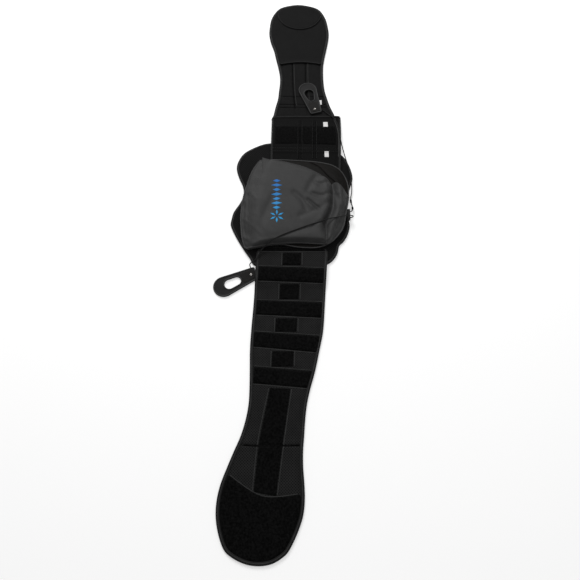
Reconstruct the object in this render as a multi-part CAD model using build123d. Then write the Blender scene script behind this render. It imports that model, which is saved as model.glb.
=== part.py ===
from build123d import *
import math
import os

# Cold compression wrap, laid open with its outer side up, in millimetres.
# X runs across the belt, Y along it and Z up from the surface that it lies on.
# The short wing with the front piece points along +Y, the long wing along -Y.

# Driving thicknesses and heights
LINING_T = 3.5
SHELL_T = 3.0
PAD_TOP = LINING_T + SHELL_T
BACK_PLATE_T = 1.5
WING_GAP = 0.7
WING_T = 4.5
OUTER_T = 1.5
SKIN_T = 1.0
TAG_T = 0.25
OUTER_TAG = ((95.0, 107.0), (280.5, 297.5))
ROOT_TAG = ((97.0, 109.0), (176.0, 192.0))
FRONT_TAG = ((84.0, 96.0), (352.0, 368.0))
STAY_T = 1.2
STAY_LIFT = 1.6
STAY_HALF_W = 4.0
PANEL_STAYS_X = (35, 72)
PANEL_STAYS_Y = (150, 304)
FRONT_STAYS_X = (21, 55)
FRONT_STAYS_Y = (392, 500)
BINDING_W = 5.0
BINDING_LIFT = 0.3
BINDING_T = 5.0
FOLD_GAP = 0.8

# Lines across the belt where the wings fold, and where they come down off the pad
FRONT_FOLD_Y = 317.7
FRONT_FOLD_GAP = 0.4
WING_FOLD_Y = -186.0
END_FOLD_Y = -519.0
SHORT_RAMP = (252.0, 312.0)
LONG_RAMP = (-142.0, -184.0)

# Cord mechanism under the pouch
MECH_LIFT = 0.2
MECH_BOTTOM = PAD_TOP + WING_GAP + WING_T + MECH_LIFT
MECH_X = (-28.0, 108.0)
MECH_CORNER_R = 10.0
SHORT_PLATE_Y = (58.0, 88.0)
LONG_PLATE_Y = (-22.0, 8.0)
MECH_PLATE_T = 2.0
PIN_R = 2.0
PIN_HEAD_R = 3.5
PIN_HEAD_T = 0.8
WHEEL_R = 8.0
WHEEL_T = 3.6
WHEEL_GROOVE_R = 6.8
WHEEL_PLAY = 0.2
BORE_PLAY = 0.05
SHORT_WHEELS = ((0.0, 72.0), (80.0, 72.0))
LONG_WHEELS = ((0.0, -6.0), (80.0, -6.0))

# Pouch and cold pack
POUCH_WALL = 1.6
POUCH_SHOULDER = 17.0
POUCH_TOP = 32.0
POUCH_SLOPE_W = 13.0
LINER_INSET = 6.0
LINER_BOTTOM = 19.2
LINER_T = 0.8
PIPING_INSET = 18.0
PIPING_W = 2.2
PIPING_T = 0.8
PACK_SIZE = (145.0, 178.0, 9.4)
PACK_CENTRE = (15.5, 27.0)
PACK_PLAY = 0.3
PACK_SIDE_PLAY = 3.0
PACK_CORNER_R = 16.0
PACK_EDGE_R = 3.0
PACK_BOTTOM = LINER_BOTTOM + LINER_T + PACK_PLAY
MOUTH_Y = (116.5, 180.0)
SLOT_TOP = 13.2
SHORT_SLOT = ((-45.0, 148.0), (100.0, 180.0))
LONG_SLOT = ((-74.0, 102.0), (-90.0, -50.0))
GUIDE_BLOCK = ((148.0, 154.5), (-2.0, 26.0), (8.5, 15.5))
CORD_EXITS = ((150.0, 4.0, 12.0), (150.0, 20.0, 12.0))

# Pull tabs
TAB_T = 4.0
TAB_REACH = 82.0
TAB_END_R = 25.0
TAB_NECK_W = 32.0
TAB_NECK_L = 20.0
TAB_CORNER_R = 4.0
TAB_ANCHOR_X = 8.0
HOLE_NEAR = (50.0, 7.5)
HOLE_FAR = (69.0, 12.0)
RIM_W = 3.2
RIM_T = 0.6
TAB_PATCH = (20.0, 32.0, 24.0)
PATCH_CORNER_R = 3.0
PATCH_RECESS = 0.6
PATCH_PROUD = 0.2
HOOK_RECESS = 0.7
EYELET_X = 21.0
EYELET_R = 3.5
EYELET_BORE_R = 1.6
EYELET_BOTTOM = 0.3
SHORT_TAB = (80.0, 324.4, WING_T + 0.3, 105.7)
LONG_TAB = (-66.8, -135.1, 0.0, 206.0)

# Cords
CORD_D = 2.4
CORD_BORE_R = 1.3

ARC_SHARE = 0.45
BIG = 800.0
THROUGH = 60.0


# Helpers

def largest_arcs(runs):
    """Radius at each corner between runs, the largest tangent arc that its two runs allow."""
    radii = []
    for run_in, run_out in runs:
        half_turn = math.radians(run_in.get_angle(run_out)) / 2
        radii.append(ARC_SHARE * min(run_in.length, run_out.length) / math.tan(half_turn))
    return radii


def smooth_face(corners):
    """Face inside a closed outline of straight runs and tangent arcs."""
    points = [Vector(*p) for p in corners]
    before = points[-1:] + points[:-1]
    after = points[1:] + points[:1]
    radii = largest_arcs([(b - a, c - b) for a, b, c in zip(before, points, after)])
    return arc_face(points, radii)


def arc_face(points, radii):
    """Face inside a polygon with its corners rounded by arcs, facing up."""
    face = make_face(FilletPolyline(*points, radius=radii, close=True)).face()
    return face if face.normal_at().Z > 0 else -face


def prism(face, bottom, height):
    """Upright solid on a plan face."""
    return extrude(Pos(0, 0, bottom) * face, amount=height, dir=(0, 0, 1))


def block(x, y, z):
    """Box from three pairs of limits."""
    size = [high - low for low, high in (x, y, z)]
    centre = [(high + low) / 2 for low, high in (x, y, z)]
    return Pos(*centre) * Box(*size)


def between(low, high):
    """Everything between two lines across the belt."""
    return block((-BIG, BIG), (low, high), (-BIG, BIG))


def ribbon(line, lift, thickness):
    """Layer that follows a line in the YZ plane, over the whole width."""
    low = [(y, z + lift) for y, z in line]
    high = [(y, z + thickness) for y, z in reversed(low)]
    face = make_face(Polyline(*low, *high, close=True))
    return extrude(Plane.YZ * face, amount=BIG, both=True)


def column(face):
    """Plan face as a tall solid, to be cut to its layer."""
    return prism(face, -THROUGH, 2 * THROUGH)


def inset(face, width):
    """Plan face drawn in from its edge."""
    return offset(face, amount=-width)


def cord_tube(route):
    """Round cord of straight runs joined by the largest tangent arcs that the runs allow."""
    points = [Vector(*p) for p in route]
    radii = largest_arcs([(b - a, c - b) for a, b, c in zip(points, points[1:], points[2:])])
    print("cord radii", [round(r, 1) for r in radii])
    path = FilletPolyline(*points, radius=radii)
    start = Plane(origin=path @ 0, z_dir=path % 0)
    return sweep(start * Circle(CORD_D / 2), path=path)


# Plan outlines

VENT_CORNERS = [(-50, -12), (-18, -12), (-18, 140), (-50, 140)]
VENT_R = 10
VENT_SHIFTS = (0, 100)

PLATE_EDGE = [(20, 200), (-60, 192), (-92, 150), (-74, 62), (-98, 0), (-75, -70), (10, -98), (90, -84),
              (122, -20), (116, 60), (134, 128), (96, 188)]

PAD_EDGE = [(30, 234), (-38, 229), (-93, 208), (-122, 165), (-118, 126), (-105, 78), (-113, 47),
            (-129, 14), (-130, -20), (-114, -52), (-71, -121), (15, -133), (101, -113), (137, -64),
            (153, -10), (149, 24), (147, 50), (158, 93), (169.2, 130), (154, 175), (108, 216)]

POUCH_CORNERS = [(-63, 171), (118, 160), (158, 92), (152, -8), (122, -76), (-92, -85), (-106, -12),
                 (-104, 63)]
POUCH_RADII = [18, 60, 90, 120, 35, 18, 120, 90]

PANEL_END_Y = FRONT_FOLD_Y - FRONT_FOLD_GAP
PANEL_CORNERS = [(-38, PANEL_END_Y), (146, PANEL_END_Y), (143, 243), (132, 62), (-41, 62)]
PANEL_RADII = [3, 3, 60, 12, 12]
PANEL_OUTER_Y = (194, 317)
PANEL_LOOP = ((-31, 136), (221, 279))
PANEL_BINDING_FROM = 100

FRONT_EDGE = [(-38, 290), (-22, 376), (-17, 455), (-31, 530), (-51, 613), (-46, 678), (-18, 720),
              (34, 737.2), (88, 720), (116, 678), (123, 613), (109, 530), (101, 455), (110, 376),
              (130, 290), (47, 285)]

WING_EDGE = [(17, -72), (-52, -74), (-68, -92), (-71, -200), (-76, -330), (-75, -430), (-90, -500),
             (-115, -561), (-134, -625), (-130, -678), (-101, -722), (-50, -737), (0, -721), (28, -678),
             (38, -635), (36, -540), (46, -437), (75, -315), (88, -200), (97, -100), (86, -74)]

TONGUE = ((-40, 84), (-100, 12))

# Strips of loop fabric across the long wing, as left, right and top at the left end
STRIP_ROWS = [(-63, 88, -126), (-66, 82, -206), (-68, 75, -279), (-68, 58, -358)]
STRIP_W = 34
STRIP_SLANT = 7

# Pieces between them, as left, right, top and bottom
CENTRE_SQUARES = [(-6, 36, -88, -123), (-13, 30, -170, -203), (-21, 25, -247, -278),
                  (-27, 17, -325, -357)]
CENTRE_STRIP = [(-32, -403), (10, -403), (-15, -614), (-58, -605)]
END_PATCH = [(-140, -560), (-109, -577), (-74, -601), (-40, -615), (0, -614), (60, -606), (60, -760),
             (-140, -760)]
SKIN_INSET = BINDING_W + 1.5
END_PATCH_INSET = BINDING_W + 2
LOOP_GAP = 1.0

# Hand pocket and its end patch, bounded by arcs
POCKET_MOUTH = ((40, 85), 420)
END_ARC = ((43, 722), 95)
POCKET_INSET = BINDING_W + 1
HOOK_CENTRE = (36, 640)
HOOK_RADII = (66, 76)


def lift_line(ramp, inner_y, outer_y):
    """Underside of a wing: flat over the pad, then down to the floor."""
    height = PAD_TOP + WING_GAP
    line = [(inner_y, height), (ramp[0], height), (ramp[1], 0), (outer_y, 0)]
    return line if line[0][0] < line[-1][0] else line[::-1]


SHORT_LINE = lift_line(SHORT_RAMP, 0.0, 740.0)
LONG_LINE = lift_line(LONG_RAMP, 30.0, -740.0)


# Back pad

def make_pad():
    outline = smooth_face(PAD_EDGE)
    core = inset(outline, BINDING_W)
    plate_outline = smooth_face(PLATE_EDGE)
    vent = arc_face(VENT_CORNERS, [VENT_R] * len(VENT_CORNERS))
    plate = prism(plate_outline, LINING_T, BACK_PLATE_T)
    for shift in VENT_SHIFTS:
        plate -= prism(Pos(shift, 0, 0) * vent, LINING_T, BACK_PLATE_T)
    shell = prism(core, LINING_T, SHELL_T) - plate
    return {
        "pad_lining": prism(core, 0, LINING_T),
        "back_plate": plate,
        "pad_shell": shell,
        "pad_binding": prism(outline - core, BINDING_LIFT, PAD_TOP - BINDING_LIFT),
    }


# Pouch, its pocket and the cold pack

def pouch_form(face, top):
    """Upright wall with a sloped shoulder, as the pouch stands over the mechanism."""
    wall = prism(face, PAD_TOP, POUCH_SHOULDER - PAD_TOP)
    shoulder = loft([Pos(0, 0, POUCH_SHOULDER) * face, Pos(0, 0, top) * inset(face, POUCH_SLOPE_W).face()])
    return wall + shoulder


def make_pouch():
    outline = arc_face(POUCH_CORNERS, POUCH_RADII)
    inner = inset(outline, POUCH_WALL)
    half_pack = PACK_SIZE[0] / 2 + PACK_SIDE_PLAY
    mouth_x = (PACK_CENTRE[0] - half_pack, PACK_CENTRE[0] + half_pack)
    mouth = block(mouth_x, MOUTH_Y, (PACK_BOTTOM - PACK_PLAY, POUCH_TOP - POUCH_WALL))
    short_slot = block(*SHORT_SLOT, (PAD_TOP, SLOT_TOP))
    long_slot = block(*LONG_SLOT, (PAD_TOP, SLOT_TOP))
    cover = pouch_form(outline, POUCH_TOP) - pouch_form(inner.face(), POUCH_TOP - POUCH_WALL)
    guide = block(*GUIDE_BLOCK)
    cover -= mouth + short_slot + long_slot + guide
    top_edge = inset(outline, PIPING_INSET)
    for cord_exit in CORD_EXITS:
        guide -= Pos(*cord_exit) * Rot(0, 90, 0) * Cylinder(CORD_BORE_R, THROUGH)
    return {
        "pouch_cover": cover,
        "pouch_piping": prism(top_edge - inset(top_edge, PIPING_W), POUCH_TOP, PIPING_T),
        "pocket_liner": prism(inset(outline, LINER_INSET), LINER_BOTTOM, LINER_T),
        "cord_guide": guide,
    }


def make_cold_pack():
    x, y = PACK_CENTRE
    pack = Pos(x, y, PACK_BOTTOM + PACK_SIZE[2] / 2) * Box(*PACK_SIZE)
    pack = fillet(pack.edges().filter_by(Axis.Z), PACK_CORNER_R)
    rims = pack.edges().group_by(Axis.Z)
    return {"cold_pack": fillet(rims[0] + rims[-1], PACK_EDGE_R)}


# Pulley plates, axle pins and wheels

def make_mechanism(name, wheel_places, y_range):
    plate_top = MECH_BOTTOM + MECH_PLATE_T
    plate = block(MECH_X, y_range, (MECH_BOTTOM, plate_top))
    plate = fillet(plate.edges().filter_by(Axis.Z), MECH_CORNER_R)
    pin_top = plate_top + WHEEL_T + 2 * WHEEL_PLAY
    parts = {}
    pins = []
    for side, (x, y) in zip(("left", "right"), wheel_places):
        shaft = Pos(x, y, (MECH_BOTTOM + pin_top) / 2) * Cylinder(PIN_R, pin_top - MECH_BOTTOM)
        head = Pos(x, y, pin_top + PIN_HEAD_T / 2) * Cylinder(PIN_HEAD_R, PIN_HEAD_T)
        plate -= shaft
        pins.append(shaft + head)
        wheel_place = Pos(x, y, plate_top + WHEEL_PLAY + WHEEL_T / 2)
        wheel = Cylinder(WHEEL_R, WHEEL_T) - Cylinder(PIN_R + BORE_PLAY, WHEEL_T)
        wheel -= Torus(WHEEL_GROOVE_R + CORD_D / 2, CORD_D / 2)
        parts[name + "_wheel_" + side] = wheel_place * wheel
    parts[name + "_pulley_plate"] = plate
    parts[name + "_axle_pins"] = Compound(children=pins)
    return parts


# Short wing

def make_side_panel():
    outline = arc_face(PANEL_CORNERS, PANEL_RADII)
    core_plan = inset(outline, BINDING_W)
    layer = ribbon(SHORT_LINE, 0, WING_T)
    core = column(core_plan) & layer
    stays = []
    for x in PANEL_STAYS_X:
        strip = block((x - STAY_HALF_W, x + STAY_HALF_W), PANEL_STAYS_Y, (-THROUGH, THROUGH))
        stay = strip & ribbon(SHORT_LINE, STAY_LIFT, STAY_T)
        core -= stay
        stays.append(stay)
    over = column(core_plan) & ribbon(SHORT_LINE, WING_T, OUTER_T) & between(*PANEL_OUTER_Y)
    top = WING_T + OUTER_T
    height = (-THROUGH, THROUGH)
    loop = block(*PANEL_LOOP, height) & ribbon(SHORT_LINE, top, SKIN_T)
    tag = block(*OUTER_TAG, height) & ribbon(SHORT_LINE, top, TAG_T)
    root_tag = block(*ROOT_TAG, height) & ribbon(SHORT_LINE, WING_T, TAG_T)
    binding = column(outline - core_plan) & ribbon(SHORT_LINE, BINDING_LIFT, BINDING_T)
    binding &= between(PANEL_BINDING_FROM, FRONT_FOLD_Y)
    return {
        "side_panel": core,
        "side_panel_outer": over,
        "side_panel_binding": binding,
        "side_panel_stays": Compound(children=stays),
        "side_panel_loop": loop,
        "side_panel_tags": Compound(children=[tag, root_tag]),
    }


def make_front_piece():
    outline = smooth_face(FRONT_EDGE)
    beyond_fold = between(FRONT_FOLD_Y + FRONT_FOLD_GAP, BIG)
    core_plan = inset(outline, BINDING_W)
    core = prism(core_plan, 0, WING_T) & beyond_fold
    stays = []
    for x in FRONT_STAYS_X:
        stay = block((x - STAY_HALF_W, x + STAY_HALF_W), FRONT_STAYS_Y, (STAY_LIFT, STAY_LIFT + STAY_T))
        core -= stay
        stays.append(stay)
    hook = prism(Pos(*HOOK_CENTRE) * Ellipse(*HOOK_RADII), 0, SKIN_T)
    core -= hook
    mouth = Pos(*POCKET_MOUTH[0]) * Cylinder(POCKET_MOUTH[1], THROUGH)
    end_arc = Pos(*END_ARC[0]) * Cylinder(END_ARC[1], THROUGH)
    upper_side = prism(inset(outline, POCKET_INSET), WING_T, OUTER_T)
    pocket = (upper_side - mouth - end_arc) & between(POCKET_MOUTH[0][1] + POCKET_MOUTH[1] / 2, BIG)
    end_patch = upper_side & end_arc
    tag = block(*FRONT_TAG, (WING_T, WING_T + TAG_T))
    return {
        "front_piece": core,
        "front_binding": prism(outline - core_plan, BINDING_LIFT, BINDING_T) & beyond_fold,
        "front_stays": Compound(children=stays),
        "front_hook": hook,
        "hand_pocket": pocket,
        "front_end_patch": end_patch,
        "front_tag": tag,
    }


# Long wing

def cross_strip(left, right, top):
    """Plan corners of one strip of loop fabric across the wing."""
    low_right = top - STRIP_SLANT - STRIP_W
    return [(left, top), (right, top - STRIP_SLANT), (right, low_right), (left, top - STRIP_W)]


def square(left, right, top, bottom):
    return [(left, top), (right, top), (right, bottom), (left, bottom)]


def corner_column(corners):
    """Tall solid over a polygon."""
    return column(make_face(Polyline(*corners, close=True)))


def make_long_wing():
    outline = smooth_face(WING_EDGE)
    core_plan = inset(outline, BINDING_W)
    tongue = block(TONGUE[0], TONGUE[1], (-THROUGH, THROUGH))
    layer = ribbon(LONG_LINE, 0, WING_T)
    skin = ribbon(LONG_LINE, WING_T, SKIN_T) & column(inset(outline, SKIN_INSET))
    edge_layer = ribbon(LONG_LINE, BINDING_LIFT, BINDING_T)
    half_gap = FOLD_GAP / 2
    spans = {
        "wing_root": (WING_FOLD_Y + half_gap, BIG),
        "long_wing": (END_FOLD_Y + half_gap, WING_FOLD_Y - half_gap),
        "wing_end": (-BIG, END_FOLD_Y - half_gap),
    }
    parts = {}
    for name, (low, high) in spans.items():
        plan = column(core_plan)
        ring = column(outline - core_plan)
        if name == "wing_root":
            plan = plan + tongue
            ring = ring - tongue
        parts[name] = plan & layer & between(low, high)
        parts[name + "_binding"] = ring & edge_layer & between(low, high)

    parts.update(make_loops(outline, skin))
    return parts


def make_loops(outline, skin):
    """Loop fabric on the long wing, cut where the wing folds."""
    strips = [corner_column(cross_strip(*row)) & skin for row in STRIP_ROWS]
    squares = [corner_column(square(*row)) & skin for row in CENTRE_SQUARES]
    centre_strip = corner_column(CENTRE_STRIP) & skin
    patch = corner_column(END_PATCH)
    above_fold = between(WING_FOLD_Y + LOOP_GAP, BIG)
    below_fold = between(-BIG, WING_FOLD_Y - LOOP_GAP)
    above_end = between(END_FOLD_Y + LOOP_GAP, BIG)
    below_end = between(-BIG, END_FOLD_Y - LOOP_GAP)
    root_pieces = [strips[0], squares[0], squares[1] & above_fold]
    wing_pieces = [squares[1] & below_fold, squares[2], squares[3], centre_strip & above_end]
    return {
        "wing_root_loops": Compound(children=root_pieces),
        "cross_loops": Compound(children=strips[1:]),
        "centre_loop": Compound(children=wing_pieces),
        "end_loop_patch": column(inset(outline, END_PATCH_INSET)) & skin & patch,
        "end_centre_loop": (centre_strip & below_end) - patch,
    }


# Pull tabs

def tab_hole(spread):
    near = Pos(HOLE_NEAR[0], 0, 0) * Circle(HOLE_NEAR[1] + spread)
    far = Pos(HOLE_FAR[0], 0, 0) * Circle(HOLE_FAR[1] + spread)
    return make_hull(near.edges() + far.edges())


def make_tab(name, place):
    x, y, z, angle = place
    end = Pos(TAB_REACH, 0, 0) * Circle(TAB_END_R)
    neck = Pos(TAB_NECK_L / 2, 0, 0) * RectangleRounded(TAB_NECK_L, TAB_NECK_W, TAB_CORNER_R)
    body = make_hull(end.edges() + neck.edges())
    plate = prism(body - tab_hole(0), 0, TAB_T)
    plate = plate + prism(tab_hole(RIM_W) - tab_hole(0), TAB_T, RIM_T)
    patch_x, patch_l, patch_w = TAB_PATCH
    top_patch = Pos(patch_x, 0, 0) * RectangleRounded(patch_l, patch_w, PATCH_CORNER_R)
    eyelet_plan = Pos(EYELET_X, 0, 0) * Circle(EYELET_R)
    patch = prism(top_patch - eyelet_plan, TAB_T - PATCH_RECESS, PATCH_RECESS + PATCH_PROUD)
    hook = prism(top_patch - eyelet_plan, HOOK_RECESS - PATCH_RECESS, PATCH_RECESS)
    eyelet = prism(eyelet_plan - Pos(EYELET_X, 0, 0) * Circle(EYELET_BORE_R), EYELET_BOTTOM, TAB_T)
    bore = Pos(TAB_ANCHOR_X, -TAB_NECK_W / 2, TAB_T / 2) * Rot(90, 0, 0) * Cylinder(CORD_BORE_R, TAB_NECK_W)
    plate -= prism(top_patch, TAB_T - PATCH_RECESS, TAB_T)
    plate -= prism(top_patch, -TAB_T, TAB_T + HOOK_RECESS)
    plate = plate - column(eyelet_plan) - bore
    move = Pos(x, y, z) * Rot(0, 0, angle)
    return {
        name + "_tab": move * plate,
        name + "_tab_patch": move * patch,
        name + "_tab_hook": move * hook,
        name + "_tab_eyelet": move * eyelet,
    }


# Cords

SIDE_CORD = [(150, 20, 12), (157.5, 20, 12), (162, 29, 8.5), (162, 41, 4.4), (159.3, 53, 3.0),
             (159, 65, 3.2), (162.6, 80, 6.0), (162.4, 98, 10.2), (161.5, 118, 10.6),
             (159.2, 136, 10.4), (154.2, 162, 10.2), (148.4, 187, 11.0), (142.6, 211, 15.6),
             (138.8, 240, 15.9), (136, 265, 14.2)]
CORNER_CORD = [(136, 265, 14.2), (134.2, 281.07, 13.107), (129, 300, 10.2), (121, 313, 9.0),
               (112, 321.5, 7.4)]
TAIL_CORD = [(112, 321.5, 7.4), (106.6, 326.6, 6.44), (100.4, 333.6, 6.8), (95.3, 337.0, 6.8),
             (86.6, 334.55, 6.8)]
LONG_CORD = [(150, 4, 12), (157.5, 4, 12), (162, 4.6, 17.5), (157.6, 4, 26), (144.5, 1, 34.6), (125, -5, 37.2),
             (103, -10.5, 36.2), (77, -20.5, 36.5), (49, -30, 36.2), (22, -41.5, 36.5), (-4, -52, 36.4),
             (-28, -64.5, 37.2), (-43, -74.5, 34.4), (-53.5, -83, 27), (-60.5, -91.5, 20), (-64.5, -100.5, 16.4),
             (-69.5, -108.5, 16), (-77, -113.2, 13), (-83.2, -115.6, 7.4), (-83.2, -119.74, 2.0),
             (-77.94, -130.52, 2.0)]


def make_cords():
    return {
        "side_cord": cord_tube(SIDE_CORD),
        "corner_cord": cord_tube(CORNER_CORD),
        "tail_cord": cord_tube(TAIL_CORD),
        "long_cord": cord_tube(LONG_CORD),
    }


def main():
    parts = {}
    parts.update(make_pad())
    parts.update(make_pouch())
    parts.update(make_cold_pack())
    parts.update(make_mechanism("short", SHORT_WHEELS, SHORT_PLATE_Y))
    parts.update(make_mechanism("long", LONG_WHEELS, LONG_PLATE_Y))
    parts.update(make_side_panel())
    parts.update(make_front_piece())
    parts.update(make_long_wing())
    parts.update(make_tab("short", SHORT_TAB))
    parts.update(make_tab("long", LONG_TAB))
    parts.update(make_cords())
    os.makedirs("parts", exist_ok=True)
    for name, solid in parts.items():
        export_step(solid, os.path.join("parts", name + ".step"))


main()
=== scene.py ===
import math

import bmesh
import bpy
import numpy as np
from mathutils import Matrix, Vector, geometry
from mathutils.bvhtree import BVHTree


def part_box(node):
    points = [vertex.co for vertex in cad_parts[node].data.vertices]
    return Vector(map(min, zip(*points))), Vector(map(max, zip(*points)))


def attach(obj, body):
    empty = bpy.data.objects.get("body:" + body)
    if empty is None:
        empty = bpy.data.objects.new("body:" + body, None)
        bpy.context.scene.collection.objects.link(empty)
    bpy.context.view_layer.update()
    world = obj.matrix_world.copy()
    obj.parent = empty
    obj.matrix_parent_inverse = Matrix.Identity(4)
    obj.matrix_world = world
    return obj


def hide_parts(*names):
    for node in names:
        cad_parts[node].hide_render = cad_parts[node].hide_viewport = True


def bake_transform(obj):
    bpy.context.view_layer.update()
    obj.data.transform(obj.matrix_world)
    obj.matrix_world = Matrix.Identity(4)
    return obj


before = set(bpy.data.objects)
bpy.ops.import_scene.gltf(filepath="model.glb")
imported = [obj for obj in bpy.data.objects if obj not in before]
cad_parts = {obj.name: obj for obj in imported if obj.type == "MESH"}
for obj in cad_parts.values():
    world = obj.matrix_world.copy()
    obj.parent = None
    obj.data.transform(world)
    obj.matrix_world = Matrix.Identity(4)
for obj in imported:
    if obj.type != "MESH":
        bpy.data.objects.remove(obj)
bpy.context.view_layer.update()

# Plan points and heights are in millimetres here, and become metres where a mesh is made.
# A piece's place is a body's name, or a blend as (body, body, start, end) with points in metres.
# Where a piece is made, its material is followed by its place, its slot and the CAD nodes it stands for.
MM = 0.001

# Heights
PAD_TOP = 6.7
RISE = 7.2
WING_T = 4.5
OUTER_T = 1.5
SKIN_T = 1.1
FLOOR_GAP = 0.3
SOLE_Z = 0.05

# Lines across the belt where it folds or where its meshes are split
FRONT_FOLD_Y = 317.7
WING_FOLD_Y = -186.0
END_FOLD_Y = -519.0
WING_SPLIT_Y = -380.0

# Spacing of points in the meshes
RING_STEP = 2.8
CELL = 2.4
FINE_CELL = 2.2


# Curves and plan shapes

def resample(points, step, closed):
    """Evenly spaced points along a polyline."""
    if closed:
        points = np.vstack([points, points[:1]])
    length = np.concatenate([[0], np.cumsum(np.linalg.norm(np.diff(points, axis=0), axis=1))])
    count = max(2, int(round(length[-1] / step)))
    at = np.linspace(0, length[-1], count + 1)
    if closed:
        at = at[:-1]
    return np.column_stack([np.interp(at, length, points[:, k]) for k in range(points.shape[1])])


def smooth(points, step=RING_STEP, closed=True):
    """Curve through the points, evenly sampled."""
    p = np.array(points, float)
    if closed:
        around = np.vstack([p[-1:], p, p[:2]])
        spans = len(p)
    else:
        around = np.vstack([2 * p[:1] - p[1:2], p, 2 * p[-1:] - p[-2:-1]])
        spans = len(p) - 1
    t = np.linspace(0, 1, 24, endpoint=False)[:, None]
    curve = []
    for i in range(spans):
        a, b, c, d = around[i:i + 4]
        curve.append(0.5 * (2 * b + (c - a) * t + (2 * a - 5 * b + 4 * c - d) * t ** 2
                            + (3 * b - a - 3 * c + d) * t ** 3))
    curve = np.vstack(curve)
    if not closed:
        curve = np.vstack([curve, p[-1:]])
    return resample(curve, step, closed)


def polygon(corners, step=RING_STEP):
    """Straight-sided ring, evenly sampled."""
    return resample(np.array(corners, float), step, True)


def arc_line(centre, radius, start, end, count=44):
    """Points on a circle between two angles."""
    turn = np.linspace(start, end, count)
    return np.array(centre) + radius * np.column_stack([np.cos(turn), np.sin(turn)])


def inside(points, ring):
    """Which points lie inside the ring."""
    x, y = points[:, 0], points[:, 1]
    hit = np.zeros(len(points), bool)
    for (x0, y0), (x1, y1) in zip(ring, np.roll(ring, -1, axis=0)):
        if y0 != y1:
            hit ^= ((y0 > y) != (y1 > y)) & (x < (x1 - x0) * (y - y0) / (y1 - y0) + x0)
    return hit


def distance(points, path, closed=False):
    """Distance of each plan point from a path."""
    path = np.asarray(path, float)
    starts, ends = (path, np.roll(path, -1, axis=0)) if closed else (path[:-1], path[1:])
    best = np.full(len(points), 1e9)
    for a, b in zip(starts, ends):
        along = b - a
        t = np.clip(((points - a) @ along) / max(along @ along, 1e-9), 0, 1)
        best = np.minimum(best, np.linalg.norm(points - a - t[:, None] * along, axis=1))
    return best


def signed_area(ring):
    x, y = ring[:, 0], ring[:, 1]
    return np.sum(x * np.roll(y, -1) - np.roll(x, -1) * y) / 2


def tangents(path, closed):
    """Unit directions along a path."""
    if closed:
        along = np.roll(path, -1, axis=0) - np.roll(path, 1, axis=0)
    else:
        along = np.gradient(path, axis=0)
    return along / np.linalg.norm(along, axis=1)[:, None]


def left_normals(path, closed):
    """Unit plan vectors to the left of a path."""
    along = tangents(path, closed)
    return np.column_stack([-along[:, 1], along[:, 0]])


def inset_ring(ring, width):
    """Ring moved inwards."""
    return resample(ring + left_normals(ring, True) * width * np.sign(signed_area(ring)), RING_STEP, True)


def stretch(ring, keep):
    """Unbroken part of a ring where keep is true, in the ring's order."""
    index = np.where(keep)[0]
    gaps = np.where(np.diff(index) > 1)[0]
    if len(gaps):
        index = np.concatenate([index[gaps[0] + 1:], index[:gaps[0] + 1]])
    return ring[index]


def ring_side(ring, y, above):
    """Stretch of a ring on one side of a line across the belt, from one crossing to the other."""
    crossings = []
    for a, b in zip(ring, np.roll(ring, -1, axis=0)):
        if (a[1] - y) * (b[1] - y) < 0:
            crossings.append(a + (b - a) * (y - a[1]) / (b[1] - a[1]))
    path = stretch(ring, ring[:, 1] > y if above else ring[:, 1] < y)
    first = min(crossings, key=lambda c: np.linalg.norm(c - path[0]))
    last = min(crossings, key=lambda c: np.linalg.norm(c - path[-1]))
    return np.vstack([[first], path, [last]])


def lift(path, z):
    """Plan points with a height, or a height for each."""
    return np.column_stack([path, np.broadcast_to(z, len(path))])


def close_line(path):
    """Open path with a straight run of points from its end back to its start."""
    run = np.linspace(path[-1], path[0], int(np.linalg.norm(path[-1] - path[0]) / RING_STEP) + 2)
    return np.vstack([path, run[1:-1]])


def ramp(value, low, high):
    """0 below low, 1 above high, smooth between."""
    t = np.clip((value - low) / (high - low), 0, 1)
    return t * t * (3 - 2 * t)


def rounded(edge, radius):
    """Fall of a soft edge: 0 inside, 1 at the rim."""
    t = np.clip(edge / radius, 0, 1)
    return 1 - np.sqrt(np.maximum(0, 1 - (1 - t) ** 2))


def ridge(offset, width):
    """1 on a line, falling to 0 beside it."""
    return np.exp(-(offset / width) ** 2)


def seams(points, paths, width, depth):
    """Grooves along several paths."""
    return sum(-depth * ridge(distance(points, path), width) for path in paths)


def waves(x, y, seed, scale):
    """Smooth repeatable unevenness from about -1 to 1, as three octaves of four waves each."""
    rng = np.random.default_rng(seed)
    total = np.zeros_like(x)
    weight = 0
    for octave in range(3):
        for _ in range(4):
            angle = rng.uniform(0, math.pi)
            phase = rng.uniform(0, 2 * math.pi)
            k = 2 * math.pi * 2 ** octave / scale * rng.uniform(0.8, 1.25)
            total += 0.5 ** octave * np.sin(k * (x * math.cos(angle) + y * math.sin(angle)) + phase)
        weight += 4 * 0.5 ** octave
    return total / weight * 1.6


# Mesh makers

def register(piece, place, slot, *nodes):
    """Parent a piece to the body that it rides on, or bake its transform where its place is a blend, and hide
    the CAD nodes that it stands for. The slot is not used.
    """
    if isinstance(place, str):
        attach(piece, place)
    else:
        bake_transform(piece)
    if nodes:
        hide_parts(*nodes)


def fold_place(first, second, y, reach, z):
    """Blend across a fold line. The first body is on the back pad's side of it."""
    low, high = (0, (y - reach) * MM, z * MM), (0, (y + reach) * MM, z * MM)
    return (first, second, low, high) if y > 0 else (first, second, high, low)


def make_object(name, verts, faces, material):
    mesh = bpy.data.meshes.new(name)
    mesh.from_pydata([tuple(v) for v in np.asarray(verts) * MM], [], faces)
    mesh.validate()
    mesh.shade_smooth()
    mesh.materials.append(material)
    return add_object(name, mesh)


def add_object(name, data):
    obj = bpy.data.objects.new(name, data)
    bpy.context.scene.collection.objects.link(obj)
    return obj


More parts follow.
